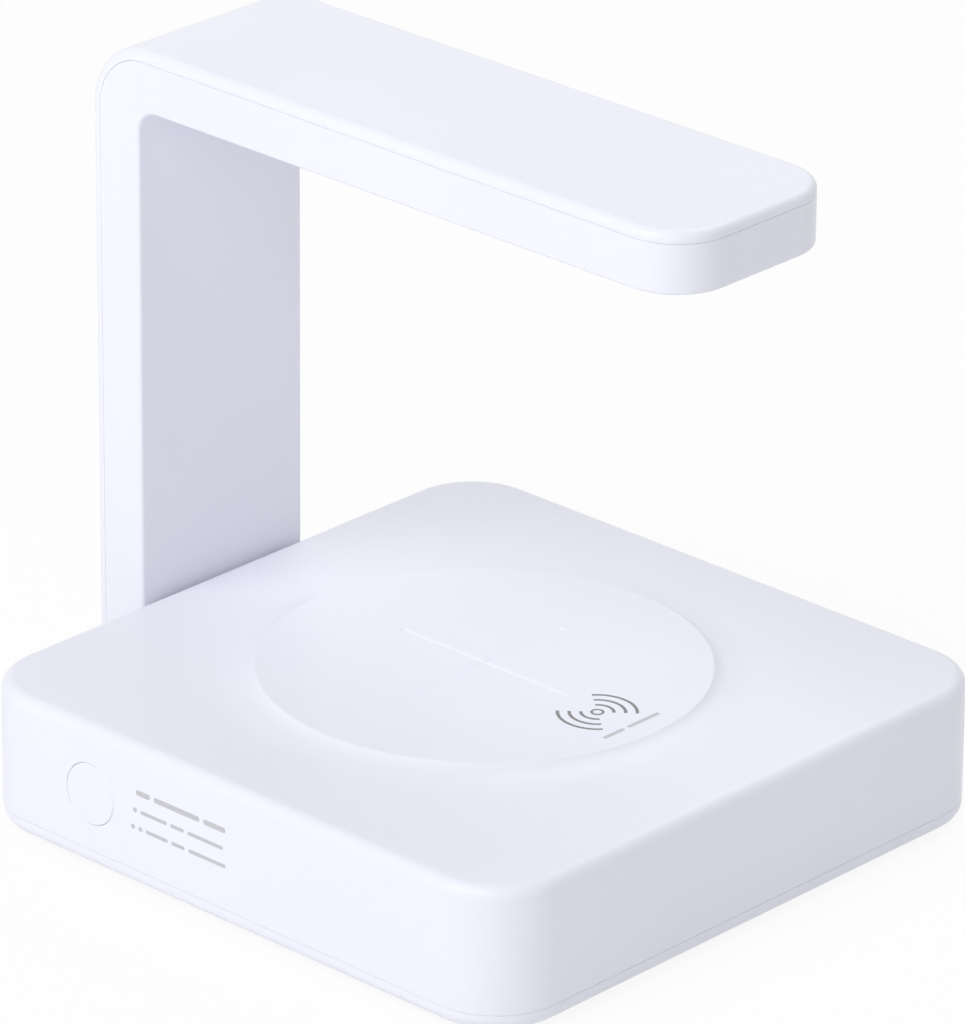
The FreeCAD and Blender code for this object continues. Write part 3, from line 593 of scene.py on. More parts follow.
# Clear pane with a light frost and finger haze
PANE = Patchy(
    "clear_pane", tint=(0.90, 0.92, 0.97), patch_tint=(0.84, 0.86, 0.93),
    patches=Clouds(85.0, 4.0, 0.6), patch_edge=(0.4, 0.8), rough=0.06, patch_rough=0.1,
    grain=Clouds(3000.0, 1.0), depth=3.0e-6, fixed={"IOR": 1.49, "Transmission_Weight": 0.9},
)
# Dipped coating of the film capacitors, which runs and pools in an uneven brown
FILM = Patchy(
    "dipped_film", tint=(0.34, 0.13, 0.04), patch_tint=(0.20, 0.07, 0.02),
    patches=Clouds(420.0, 3.0, stretch=(1.0, 1.0, 0.4)), patch_edge=(0.3, 0.75), rough=0.18,
    patch_rough=0.14, depth=8.0e-5, fixed={"Coat_Weight": 0.4},
)
# Pad-printed ink, thin enough that the white grins through in specks
INK = Patchy(
    "grey_ink", tint=(0.21, 0.21, 0.215), patch_tint=(0.34, 0.34, 0.35),
    patches=Clouds(3600.0, 3.0), patch_edge=(0.45, 0.85), rough=0.4, patch_rough=0.2,
    depth=2.0e-6,
)
FAINT_INK = replace(INK, name="faint_ink", tint=(0.54, 0.54, 0.57), patch_tint=(0.63, 0.63, 0.67))
# Gold flash on the contacts of the inlet, scored along the way a plug slides
GOLD = Patchy(
    "gold_flash", tint=(0.86, 0.62, 0.26), patch_tint=(0.66, 0.47, 0.22),
    patches=Clouds(9000.0, stretch=(1.0, 0.05, 1.0)), patch_edge=(0.5, 0.75), rough=0.22,
    patch_rough=0.15, depth=2.0e-6, fixed={"Metallic": 1.0},
)


# Sections, plans and skins

def heading(angle: float) -> Vector:
    """Return the direction at an angle in a plane."""
    return Vector((math.cos(angle), math.sin(angle)))


def square(centre: Vector, half: float) -> Row:
    """Return the corners of a level square about its centre."""
    return [centre + X * (x * half) + Y * (y * half) for x, y in QUARTERS]


class Section:
    """A walk along a section, the solid on the right hand and the shading normal on the left."""

    def __init__(self, across: float, up: float) -> None:
        """Start the walk.

        Args:
            across: distance out from the anchors of the plan.
            up: distance along the axis of the plan.
        """
        self.at = Vector((across, up))
        self.runs: list[list[Mark]] = []

    def pairs(self) -> Iterator[tuple[Mark, Mark]]:
        """Yield place and normal at both ends of each step of the walk."""
        for run in self.runs:
            yield from zip(run, run[1:])

    def line(self, across: float, up: float) -> "Section":
        """Walk straight to a place.

        Args:
            across: end of the line, out from the anchors.
            up: end of the line, along the axis.

        Returns:
            The section.
        """
        end = Vector((across, up))
        way = (end - self.at).normalized()
        left = Vector((-way.y, way.x))
        self.runs.append([(self.at, left), (end, left)])
        self.at = end
        return self

    def lines(self, *places: tuple[float, float]) -> "Section":
        """Walk straight through a row of places.

        Args:
            places: the places, each out from the anchors and along the axis.

        Returns:
            The section.
        """
        for place in places:
            self.line(*place)
        return self

    def arc(
        self, across: float, up: float, radius: float, turn: Turn, steps: int = ROUND_STEPS,
    ) -> "Section":
        """Walk along an arc to a place.

        Args:
            across: end of the arc, out from the anchors.
            up: end of the arc, along the axis.
            radius: radius of the arc.
            turn: which way the walk bends.
            steps: number of chords.

        Returns:
            The section.
        """
        end = Vector((across, up))
        chord = end - self.at
        left = Vector((-chord.y, chord.x)).normalized()
        reach = math.sqrt(max(radius * radius - chord.length_squared / 4, 0.0))
        centre = (self.at + end) / 2 + left * reach * turn.value
        first = self.at - centre
        swing = 2 * math.asin(min(chord.length / (2 * radius), 1.0)) * turn.value
        run = []
        for index in range(steps + 1):
            spoke = Matrix.Rotation(swing * index / steps, 2) @ first
            run.append((centre + spoke, spoke.normalized() * -turn.value))
        run[-1] = (end, run[-1][1])
        self.runs.append(run)
        self.at = end
        return self


@dataclass(frozen=True)
class Spoke:
    """One place of a plan: an anchor and the direction in which the plan faces there."""

    anchor: Vector
    out: Vector


@dataclass(frozen=True)
class Plan:
    """A closed outline whose spokes are pushed out by the distances of a section."""

    spokes: tuple[Spoke, ...]
    axis: Vector

    @classmethod
    def circle(
        cls, centre: Vector, first: Vector, axis: Vector, steps: int = CIRCLE_STEPS,
    ) -> "Plan":
        """Return a circle about an axis.

        Args:
            centre: point on the axis that the section's heights start from.
            first: direction of the first spoke, square to the axis.
            axis: direction of the section's heights.
            steps: number of spokes.

        Returns:
            The plan.
        """
        second = axis.cross(first)
        spokes = []
        for index in range(steps):
            way = heading(FULL_TURN * index / steps)
            spokes.append(Spoke(centre, first * way.x + second * way.y))
        return cls(tuple(spokes), axis)

    @classmethod
    def rounded(
        cls, centre: Vector, first: Vector, second: Vector, axis: Vector, size: tuple[float, float],
        corner: float, steps: int = CORNER_STEPS,
    ) -> "Plan":
        """Return a rectangle with round corners, anchored at the centres of its corners.

        Args:
            centre: middle of the rectangle.
            first: direction of its width.
            second: direction of its height.
            axis: direction of the section's heights.
            size: width and height.
            corner: corner radius, which a section reaches at that distance across.
            steps: chords per corner.

        Returns:
            The plan, with the sides towards second, -first, -second and first after each corner.
        """
        wide, high = size[0] / 2 - corner, size[1] / 2 - corner
        spokes = []
        for quarter, (right, top) in enumerate(QUARTERS):
            anchor = centre + first * (wide * right) + second * (high * top)
            for index in range(steps + 1):
                way = heading(QUARTER_TURN * (quarter + index / steps))
                spokes.append(Spoke(anchor, first * way.x + second * way.y))
        return cls(tuple(spokes), axis)

    def ring(self, across: float, up: float) -> Row:
        """Return the outline pushed out by a distance, at a height."""
        return [spoke.anchor + spoke.out * across + self.axis * up for spoke in self.spokes]

    def facing(self, normal: Vector) -> Row:
        """Return a section's normal turned to face the way of each spoke."""
        return [spoke.out * normal.x + self.axis * normal.y for spoke in self.spokes]


class Skin:
    """Faces of one piece in millimetres, with a shading normal at every corner of each face."""

    def __init__(self) -> None:
        """Start with no faces."""
        self.points: Row = []
        self.faces: list[list[int]] = []
        self.normals: Row = []
        self.places: dict[tuple[int, ...], int] = {}

    def vertex(self, point: Vector) -> int:
        """Find or add the vertex at a point, one for all faces that meet there.

        Args:
            point: the place.

        Returns:
            The number of the vertex.
        """
        key = tuple(round(value * MERGE) for value in point)
        if key not in self.places:
            self.places[key] = len(self.points)
            self.points.append(point)
        return self.places[key]

    def face(self, corners: Row, normals: Row) -> None:
        """Add a face that looks the way of its normals, without the corners that fall together.

        Args:
            corners: places of the corners, in order.
            normals: shading normal at each corner.
        """
        loop: list[tuple[int, Vector]] = []
        for corner, normal in zip(corners, normals):
            number = self.vertex(corner)
            if number not in (known for known, _ in loop):
                loop.append((number, normal))
        if len(loop) < 3:
            return
        places = [self.points[number] for number, _ in loop]
        way = Vector()
        for here, there in zip(places, places[1:] + places[:1]):
            way += here.cross(there)
        if way.dot(sum((normal for _, normal in loop), Vector())) < 0:
            loop.reverse()
        self.faces.append([number for number, _ in loop])
        self.normals.extend(normal for _, normal in loop)

    def band(
        self, first: Row, second: Row, first_normals: Row, second_normals: Row,
        closed: bool = True, skip: Iterable[int] = (),
    ) -> None:
        """Add the faces between two rows of points.

        Args:
            first: one row.
            second: the other row, of the same length.
            first_normals: normals along the first row.
            second_normals: normals along the second row.
            closed: whether the rows are rings.
            skip: numbers of the gaps in the row that stay open.
        """
        left_open = set(skip)
        for index in range(len(first) if closed else len(first) - 1):
            if index in left_open:
                continue
            after = (index + 1) % len(first)
            self.face(
                [first[index], first[after], second[after], second[index]],
                [
                    first_normals[index], first_normals[after],
                    second_normals[after], second_normals[index],
                ],
            )

    def sweep(self, plan: Plan, section: Section, skip: Iterable[int] = ()) -> None:
        """Add the faces of a section carried round a plan.

        Args:
            plan: the outline.
            section: the section.
            skip: gaps between spokes that stay open.
        """
        for (here, here_normal), (there, there_normal) in section.pairs():
            self.band(
                plan.ring(*here), plan.ring(*there),
                plan.facing(here_normal), plan.facing(there_normal), skip=skip,
            )

    def walls(self, upper: Row, lower: Row) -> None:
        """Add the flat walls of a hollow.

        Args:
            upper: its upper edge, counter-clockwise from above.
            lower: its lower edge, with a corner for each of the upper edge.
        """
        for index, here in enumerate(upper):
            after = (index + 1) % len(upper)
            way = (upper[after] - here).cross(lower[index] - here).normalized()
            self.face([here, upper[after], lower[after], lower[index]], [way] * 4)

    def flat(self, outline: Row, normal: Vector, holes: Sequence[Row] = ()) -> None:
        """Add a flat face with holes.

        Args:
            outline: its edge.
            normal: the way it looks.
            holes: edges of its holes.
        """
        if not holes and len(outline) == 4:
            self.face(outline, [normal] * 4)
            return
        loops = [outline, *holes]
        corners = [corner for loop in loops for corner in loop]
        for triangle in tessellate_polygon(loops):
            self.face([corners[number] for number in triangle], [normal] * 3)

    def plate(self, plan: Plan, across: float, low: float, high: float) -> None:
        """Add a closed flat plate.

        Args:
            plan: its outline.
            across: how far the outline lies from its anchors.
            low: height of its underside.
            high: height of its face.
        """
        self.sweep(plan, Section(across, high).line(across, low))
        self.flat(plan.ring(across, high), plan.axis)
        self.flat(plan.ring(across, low), -plan.axis)

    def build(self, name: str) -> bpy.types.Object:
        """Return the skin as a new object in metres.

        Args:
            name: name of the piece.

        Returns:
            The linked object.
        """
        mesh = bpy.data.meshes.new(name)
        mesh.from_pydata([point * MM for point in self.points], [], self.faces)
        mesh.polygons.foreach_set("use_smooth", [True] * len(self.faces))
        mesh.normals_split_custom_set([normal.normalized() for normal in self.normals])
        mesh.validate()
        made = bpy.data.objects.new(name, mesh)
        bpy.context.scene.collection.objects.link(made)
        return made


def dress(
    skin: Skin, name: str, finish: Finish, stands_for: Optional[str] = None,
    body: Body = Body.STAND,
) -> None:
    """Make a piece of a skin, finish it and hang it on its body.

    Args:
        skin: the faces.
        name: name of the piece.
        finish: its finish.
        stands_for: node of the frame that it replaces.
        body: body that it rides on.
    """
    piece = skin.build(name)
    piece.data.materials.append(finish.material())
    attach(piece, body.value)
    if stands_for:
        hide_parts(stands_for)
    LOG.info("%s: %d faces, on %s", name, len(skin.faces), body.value)


def base_plan(side: float, corner: float) -> Plan:
    """Return the outline of the base, drawn in by the room for printed marks."""
    drawn_in = side - PRINT_ROOM * 2
    return Plan.rounded(BASE_CENTRE, X, Y, Z, (drawn_in, drawn_in), corner - PRINT_ROOM)


# Sub-assemblies

@dataclass
class BaseShell:
    """Top shell of the base, with the charging pad, its cross and the openings in its walls."""

    side: float = 120.0
    corner: float = 12.9
    top: float = 26.3
    seam: float = 4.07
    wall: float = 2.2
    edge_round: float = 2.2
    edge_steps: int = 12
    seam_round: float = 0.03
    roof: float = 23.9
    recess_side: float = 46.0
    recess_top: float = 26.1
    pad_top: float = 28.1
    foot_radius: float = 45.3
    cove: float = 21.0
    cove_slope: float = 15.0
    cove_steps: int = 12
    brow_slope: float = 40.0
    rim_round: float = 0.5
    cross_length: float = 37.0
    cross_width: float = 0.3
    cross_slope: float = 0.47
    cross_depth: float = 0.3
    button_y: float = 25.7
    button_z: float = 14.1
    button_hole: float = 5.45
    mouth_round: float = 0.2
    inlet_place: tuple[float, float] = (30.0, 13.58)
    inlet_size: tuple[float, float] = (9.34, 3.56)
    inlet_corner: float = 1.6
    neck_place: tuple[float, float] = (0.0, 14.0)
    neck_size: tuple[float, float] = (26.4, 10.4)
    neck_corner: float = 1.7

    def __post_init__(self) -> None:
        """Work out the outlines, and the gaps of the outline that carry openings."""
        self.reach = self.corner - PRINT_ROOM
        self.half = self.side / 2 - PRINT_ROOM
        self.inner = self.corner - self.wall
        self.plan = base_plan(self.side, self.corner)
        self.pad = Plan.circle(BASE_CENTRE, X, Z, PAD_STEPS)
        back_side, left_side = CORNER_STEPS, CORNER_STEPS * 2 + 1
        self.openings = (back_side, left_side)

    def build(self) -> None:
        """Build the shell as one closed skin."""
        skin = Skin()
        self.add_outside(skin)
        self.add_inside(skin)
        self.add_pad(skin)
        self.add_left_wall(skin)
        self.add_back_wall(skin)
        dress(skin, "base_shell", HOUSING, "base_housing")

    def add_outside(self, skin: Skin) -> None:
        """Add the flat top, its rounded edge, the walls and the rim at the seam.

        Args:
            skin: the skin to add to.
        """
        shoulder, hem = self.top - self.edge_round, self.seam + self.seam_round
        level = self.reach - self.edge_round
        foot = self.pad.ring(self.foot_radius, self.top)
        skin.flat(self.plan.ring(level, self.top), Z, [foot])
        edge = Section(level, self.top)
        edge.arc(self.reach, shoulder, self.edge_round, Turn.RIGHT, self.edge_steps)
        skin.sweep(self.plan, edge)
        wall = Section(self.reach, shoulder).line(self.reach, hem)
        skin.sweep(self.plan, wall, self.openings)
        rim = Section(self.reach, hem)
        rim.arc(self.reach - self.seam_round, self.seam, self.seam_round, Turn.RIGHT, HAIR_STEPS)
        skin.sweep(self.plan, rim.line(self.inner, self.seam))

    def add_inside(self, skin: Skin) -> None:
        """Add the inner walls and the ceiling with the recess for the coil.

        Args:
            skin: the skin to add to.
        """
        wall = Section(self.inner, self.seam).line(self.inner, self.roof)
        skin.sweep(self.plan, wall, self.openings)
        low = square(BASE_CENTRE + Z * self.roof, self.recess_side / 2)
        high = square(BASE_CENTRE + Z * self.recess_top, self.recess_side / 2)
        skin.flat(self.plan.ring(self.inner, self.roof), -Z, [low])
        skin.walls(high, low)
        skin.flat(high, -Z)

    def add_pad(self, skin: Skin) -> None:
        """Turn the pad with its concave flank and engrave the cross.

        Args:
            skin: the skin to add to.
        """
        steep, easy = heading(math.radians(self.brow_slope)), heading(math.radians(self.cove_slope))
        rim = (self.rim_round * steep.y, self.rim_round * (1 - steep.x))
        cove = (self.cove * easy.y, self.cove * (1 - easy.x))
        brow = (self.pad_top - self.top - rim[1] - cove[1]) / (easy.x - steep.x)
        radius = self.foot_radius - cove[0] - brow * (steep.y - easy.y) - rim[0]
        flank = Section(radius, self.pad_top)
        flank.arc(radius + rim[0], self.pad_top - rim[1], self.rim_round, Turn.RIGHT)
        flank.arc(self.foot_radius - cove[0], self.top + cove[1], brow, Turn.LEFT)
        flank.arc(self.foot_radius, self.top, self.cove, Turn.LEFT, self.cove_steps)
        skin.sweep(self.pad, flank)
        mouth = self.cross(self.cross_slope, self.pad_top)
        floor = self.cross(0.0, self.pad_top - self.cross_depth)
        skin.flat(self.pad.ring(radius, self.pad_top), Z, [mouth])
        skin.walls(mouth, floor)
        skin.flat(floor, Z)

    def cross(self, grown: float, height: float) -> Row:
        """Return the outline of the cross.

        Args:
            grown: how far it is grown on all sides.
            height: height of the outline.

        Returns:
            Its corners, counter-clockwise from above.
        """
        long, thin = self.cross_length / 2 + grown, self.cross_width / 2 + grown
        quarter = [(long, -thin), (long, thin), (thin, thin)]
        outline = []
        for _ in QUARTERS:
            outline.extend(Vector((x, y + BASE_Y, height)) for x, y in quarter)
            quarter = [(-y, x) for x, y in quarter]
        return outline

    def panel(
        self, skin: Skin, way: Vector, along: Vector, holes: Sequence[tuple[Plan, float]],
    ) -> None:
        """Add one straight side of the wall, outside and inside, with the bores through it.

        Args:
            skin: the skin to add to.
            way: the way the wall looks.
            along: direction along the wall.
            holes: plan of each opening on the outer face, and the reach of its edge.
        """
        run = along * (self.side / 2 - self.corner)
        outer = BASE_CENTRE + way * self.half
        inner = BASE_CENTRE + way * (self.side / 2 - self.wall)
        depth = self.wall - PRINT_ROOM
        bevel = self.mouth_round
        for foot, low, high, facing, grown, level in (
            (outer, self.seam + self.seam_round, self.top - self.edge_round, way, bevel, 0.0),
            (inner, self.seam, self.roof, -way, 0.0, -depth),
        ):
            corners = [
                foot + run * side + Z * height
                for side, height in ((-1, low), (1, low), (1, high), (-1, high))
            ]
            skin.flat(corners, facing, [plan.ring(reach + grown, level) for plan, reach in holes])
        for plan, reach in holes:
            bore = Section(reach, -depth).line(reach, -bevel)
            skin.sweep(plan, bore.arc(reach + bevel, 0.0, bevel, Turn.RIGHT, HAIR_STEPS))

    def add_left_wall(self, skin: Skin) -> None:
        """Add the wall with the button hole."""
        centre = Vector((-self.half, self.button_y, self.button_z))
        self.panel(skin, -X, Y, [(Plan.circle(centre, Y, -X), self.button_hole)])

    def add_back_wall(self, skin: Skin) -> None:
        """Add the wall with the supply inlet and the slot for the neck of the lamp.

        Args:
            skin: the skin to add to.
        """
        holes = []
        for place, size, corner in (
            (self.inlet_place, self.inlet_size, self.inlet_corner),
            (self.neck_place, self.neck_size, self.neck_corner),
        ):
            centre = Vector((place[0], BASE_Y + self.half, place[1]))
            holes.append((Plan.rounded(centre, X, Z, Y, size, corner, ROUND_STEPS), corner))
        self.panel(skin, Y, X, holes)


@dataclass
class BottomTray:
    """Tray that closes the base, with its locating lip and the recesses for the feet."""

    side: float = BaseShell.side
    corner: float = BaseShell.corner
    under: float = 1.0
    seam: float = 4.02
    floor: float = 3.0
    lip_top: float = 7.0
    lip_outer: float = 2.4
    lip_inner: float = 3.8
    edge_round: float = 2.3
    edge_steps: int = 10
    seam_round: float = 0.03
    foot_reach: float = 46.0
    recess_radius: float = 6.0
    recess_depth: float = 1.2
    recess_round: float = 0.2

    def build(self) -> None:
        """Build the tray as one closed skin."""
        skin = Skin()
        reach = self.corner - PRINT_ROOM
        plan = base_plan(self.side, self.corner)
        lip_in, lip_out = self.corner - self.lip_inner, self.corner - self.lip_outer
        lip = Section(lip_in, self.floor)
        lip.lines(
            (lip_in, self.lip_top), (lip_out, self.lip_top), (lip_out, self.seam),
            (reach - self.seam_round, self.seam),
        )
        lip.arc(reach, self.seam - self.seam_round, self.seam_round, Turn.RIGHT, HAIR_STEPS)
        lip.line(reach, self.under + self.edge_round)
        lip.arc(reach - self.edge_round, self.under, self.edge_round, Turn.RIGHT, self.edge_steps)
        skin.sweep(plan, lip)
        skin.flat(plan.ring(lip_in, self.floor), Z)
        wide = self.recess_radius + self.recess_round
        bore = Section(self.recess_radius, -self.recess_depth)
        bore.line(self.recess_radius, -self.recess_round)
        bore.arc(wide, 0.0, self.recess_round, Turn.RIGHT, HAIR_STEPS)
        mouths = []
        for place in square(BASE_CENTRE + Z * self.under, self.foot_reach):
            recess = Plan.circle(place, X, -Z)
            skin.sweep(recess, bore)
            skin.flat(recess.ring(self.recess_radius, -self.recess_depth), -Z)
            mouths.append(recess.ring(wide, 0.0))
        skin.flat(plan.ring(reach - self.edge_round, self.under), -Z, mouths)
        dress(skin, "bottom_tray", HOUSING, "bottom_cover")


@dataclass
class Feet:
    """Four silicone feet, each with a ring groove in its tread."""

    reach: float = BottomTray.foot_reach
    radius: float = 5.8
    turn_steps: int = 48
    top: float = 2.1
    edge_round: float = 0.7
    groove_outer: float = 4.0
    groove_inner: float = 2.6
    groove_depth: float = 0.25

    def build(self) -> None:
        """Turn the four feet in one skin."""
        skin = Skin()
        outer, inner, depth = self.groove_outer, self.groove_inner, self.groove_depth
        section = Section(0.0, self.top)
        section.lines((self.radius, self.top), (self.radius, self.edge_round))
        section.arc(self.radius - self.edge_round, 0.0, self.edge_round, Turn.RIGHT)
        section.lines((outer, 0.0), (outer - depth, depth))
        section.lines((inner + depth, depth), (inner, 0.0), (0.0, 0.0))
        for place in square(BASE_CENTRE, self.reach):
            skin.sweep(Plan.circle(place, X, Z, self.turn_steps), section)
        dress(skin, "feet", RUBBER, "rubber_feet")


@dataclass
class PushButton:
    """Flush round cap with its retaining flange and stem."""

    place: tuple[float, float] = (BaseShell.button_y, BaseShell.button_z)
    face: float = BaseShell.side / 2 - PRINT_ROOM
    radius: float = 5.4
    edge_round: float = 0.25
    flange_radius: float = 6.8
    flange_front: float = 57.65
    flange_back: float = 56.65
    stem_radius: float = 1.7
    stem_end: float = 52.45

    def build(self) -> None:
        """Turn the button about its axis."""
        skin = Skin()
        plan = Plan.circle(Vector((0.0, *self.place)), Y, -X)
        section = Section(0.0, self.face).line(self.radius - self.edge_round, self.face)
        section.arc(self.radius, self.face - self.edge_round, self.edge_round, Turn.RIGHT)
        section.lines(
            (self.radius, self.flange_front), (self.flange_radius, self.flange_front),
            (self.flange_radius, self.flange_back), (self.stem_radius, self.flange_back),
            (self.stem_radius, self.stem_end), (0.0, self.stem_end),
        )
        skin.sweep(plan, section)
        dress(skin, "push_button", KEY_CAP, "timer_button", Body.BUTTON)


@dataclass(frozen=True)
class BendLine:
    """Line up the column, round the bend and along the arm, seen from the side."""

    column: float
    arm: float
    radius: float

    def at(self, angle: float) -> Vector:
        """Return the point of the bend at an angle, 0 where it leaves the column."""
        middle = Vector((self.column - self.radius, self.arm - self.radius))
        return middle + heading(angle) * self.radius


@dataclass(frozen=True)
class Station:
    """One cut across the lamp arm: both faces, the way they look, and the way its edge looks."""

    low: Vector
    high: Vector
    up: Vector
    spread: Vector


@dataclass
class LampArm:
    """Column and arm: a bent trough over the pad and the skin that closes it from outside."""

    half: float = 19.0
    tip: float = -64.3
    tip_corner: float = 10.0
    foot: float = 2.0
    wall: float = 1.8
    edge_round: float = 0.6
    seam_round: float = 0.04
    skin_round: float = 1.5
    skin_steps: int = 10
    trough_low: BendLine = BendLine(54.95, 114.1, 4.0)
    trough_high: BendLine = BendLine(63.9, 122.7, 10.0)
    skin_low: BendLine = BendLine(63.95, 122.75, 10.05)
    skin_high: BendLine = BendLine(65.9, 124.7, 12.0)
    window_y: float = -10.9
    window_size: tuple[float, float] = (20.0, 66.0)
    window_corner: float = 2.0
    neck_z: float = 14.0
    neck_size: tuple[float, float] = (26.0, 10.0)
    neck_corner: float = 1.5
    neck_length: float = 16.85

    def build(self) -> None:
        """Build the trough and the skin."""
        self.build_trough()
        self.build_skin()

    def stations(self, low: BendLine, high: BendLine, foot: float) -> list[Station]:
        """Return the cuts from the column's foot to the tip of the arm.

        Args:
            low: line of the face over the pad.
            high: line of the face away from it.
            foot: height of the foot.

        Returns:
            The stations: the foot, the bend, and the rounded corner of the tip.
        """
        level = heading(0.0)
        made = [Station(Vector((low.column, foot)), Vector((high.column, foot)), level, level)]
        for index in range(BEND_STEPS + 1):
            angle = QUARTER_TURN * index / BEND_STEPS
            made.append(Station(low.at(angle), high.at(angle), heading(angle), level))
        start = self.tip + self.tip_corner
        faces = (Vector((start, low.arm)), Vector((start, high.arm)), Vector((0.0, 1.0)))
        for index in range(CORNER_STEPS + 1):
            made.append(Station(*faces, heading(QUARTER_TURN * index / CORNER_STEPS)))
        return made

    def point(self, station: Station, side: int, across: float, end: End, rise: float) -> Vector:
        """Return a point on one cut.

        Args:
            station: the cut.
            side: 1 for the right half, -1 for the left.
            across: distance out from the centre of the tip's corner.
            end: face that the rise starts from.
            rise: distance along the way that face looks, upward positive.

        Returns:
            The point.
        """
        foot = station.low if end is End.LOW else station.high
        place = foot + station.up * rise
        wide = self.half - self.tip_corner + station.spread.x * across
        return Vector((side * wide, place.x - station.spread.y * across, place.y))

    @staticmethod
    def both(stations: list[Station]) -> list[tuple[Station, int]]:
        """Order the cuts up the right side and back down the left.

        Args:
            stations: the cuts.

        Returns:
            Each cut with its side, 1 for the right half and -1 for the left.
        """
        right = [(station, 1) for station in stations]
        left = [(station, -1) for station in reversed(stations)]
        return right + left

    def row(self, stations: list[Station], across: float, end: End, rise: float) -> Row:
        """Return one line round the arm, up the right side and back down the left.

        Args:
            stations: the cuts.
            across: distance out from the centre of the tip's corner.
            end: face that the rise starts from.
            rise: distance along the way that face looks, upward positive.

        Returns:
            The points of the line.
        """
        return [
            self.point(station, side, across, end, rise) for station, side in self.both(stations)
        ]

    def facing(self, stations: list[Station], normal: Vector) -> Row:
        """Return a section's normal turned the way the arm faces along such a line.

        Args:
            stations: the cuts.
            normal: the normal, across and up.

        Returns:
            The normal at each point of the line.
        """
        return [
            Vector((
                side * station.spread.x * normal.x,
                station.up.x * normal.y - station.spread.y * normal.x,
                station.up.y * normal.y,
            ))
            for station, side in self.both(stations)
        ]

    def edge(self, skin: Skin, stations: list[Station], end: End, section: Section) -> None:
        """Carry a short section along the edge of one face.

        Args:
            skin: the skin to add to.
            stations: the cuts.
            end: the face whose edge it is.
            section: the section.
        """
        for (here, here_normal), (there, there_normal) in section.pairs():
            skin.band(
                self.row(stations, here.x, end, here.y),
                self.row(stations, there.x, end, there.y),
                self.facing(stations, here_normal),
                self.facing(stations, there_normal),
                closed=False,
            )

    def sides(
        self, skin: Skin, stations: list[Station], across: float, low: float, high: float, out: int,
    ) -> None:
        """Add the upright band between the two faces.

        Args:
            skin: the skin to add to.
            stations: the cuts.
            across: distance of the band from the corner centres.
            low: rise of its lower edge above the low face.
            high: rise of its upper edge above the high face.
            out: 1 where it looks outward, -1 where it looks into the hollow.
        """
        normals = self.facing(stations, Vector((out, 0.0)))
        foot = self.row(stations, across, End.LOW, low)
        head = self.row(stations, across, End.HIGH, high)
        skin.band(foot, head, normals, normals, closed=False)

    def across_face(
        self, skin: Skin, stations: list[Station], across: float, end: End, rise: float, out: int,
        *, column_holes: Sequence[Row] = (), arm_holes: Sequence[Row] = (),
    ) -> None:
        """Add one whole face of the arm: column, bend and arm.

        Args:
            skin: the skin to add to.
            stations: the cuts.
            across: distance of its edge from the corner centres.
            end: which face.
            rise: how far it lies above that face's line.
            out: 1 where it looks away from the pad, -1 where it looks at it.
            column_holes: openings in the column.
            arm_holes: openings in the arm.
        """
        right = [self.point(station, 1, across, end, rise) for station in stations]
        left = [self.point(station, -1, across, end, rise) for station in stations]
        looks = [Vector((0.0, station.up.x, station.up.y)) * out for station in stations]
        skin.flat([right[0], right[1], left[1], left[0]], looks[0], column_holes)
        bend_end = BEND_STEPS + 1
        for here in range(1, bend_end):
            there = here + 1
            skin.face(
                [right[here], right[there], left[there], left[here]],
                [looks[here], looks[there], looks[there], looks[here]],
            )
        skin.flat(right[bend_end:] + left[bend_end:][::-1], looks[-1], arm_holes)

    def foot_cap(self, skin: Skin, station: Station, edges: Sequence[tuple[End, Section]]) -> None:
        """Close the foot of the column.

        Args:
            skin: the skin to add to.
            station: the cut at the foot.
            edges: the sections of both edges, in order from the high face to the low face or back.
        """
        right = [
            self.point(station, 1, place.x, end, place.y)
            for end, section in edges for run in section.runs for place, _ in run
        ]
        left = [Vector((-place.x, place.y, place.z)) for place in reversed(right)]
        skin.flat(right + left, -Z)

    def build_trough(self) -> None:
        """Build the hollow inner shell with its lamp opening and its neck."""
        skin = Skin()
        outside = self.stations(self.trough_low, self.trough_high, self.foot)
        reach, small, large = self.tip_corner, self.seam_round, self.edge_round
        top = Section(reach - small, 0.0).arc(reach, -small, small, Turn.RIGHT, HAIR_STEPS)
        under = Section(reach, large).arc(reach - large, 0.0, large, Turn.RIGHT)
        self.edge(skin, outside, End.HIGH, top)
        self.sides(skin, outside, reach, large, -small, 1)
        self.edge(skin, outside, End.LOW, under)
        self.foot_cap(skin, outside[0], [(End.HIGH, top), (End.LOW, under)])
        window, neck = self.window(), self.neck()
        self.across_face(
            skin, outside, reach - large, End.LOW, 0.0, -1,
            column_holes=[neck.ring(self.neck_corner, 0.0)],
            arm_holes=[window.ring(self.window_corner + small, 0.0)],
        )
        self.add_hollow(skin, outside, window)
        nose, length = self.neck_corner - small, self.neck_length
        boss = Section(nose, length)
        boss.arc(self.neck_corner, length - small, small, Turn.RIGHT, HAIR_STEPS)
        skin.sweep(neck, boss.line(self.neck_corner, 0.0))
        skin.flat(neck.ring(nose, length), -Y)
        dress(skin, "arm_shell", HOUSING, "lamp_arm_housing")

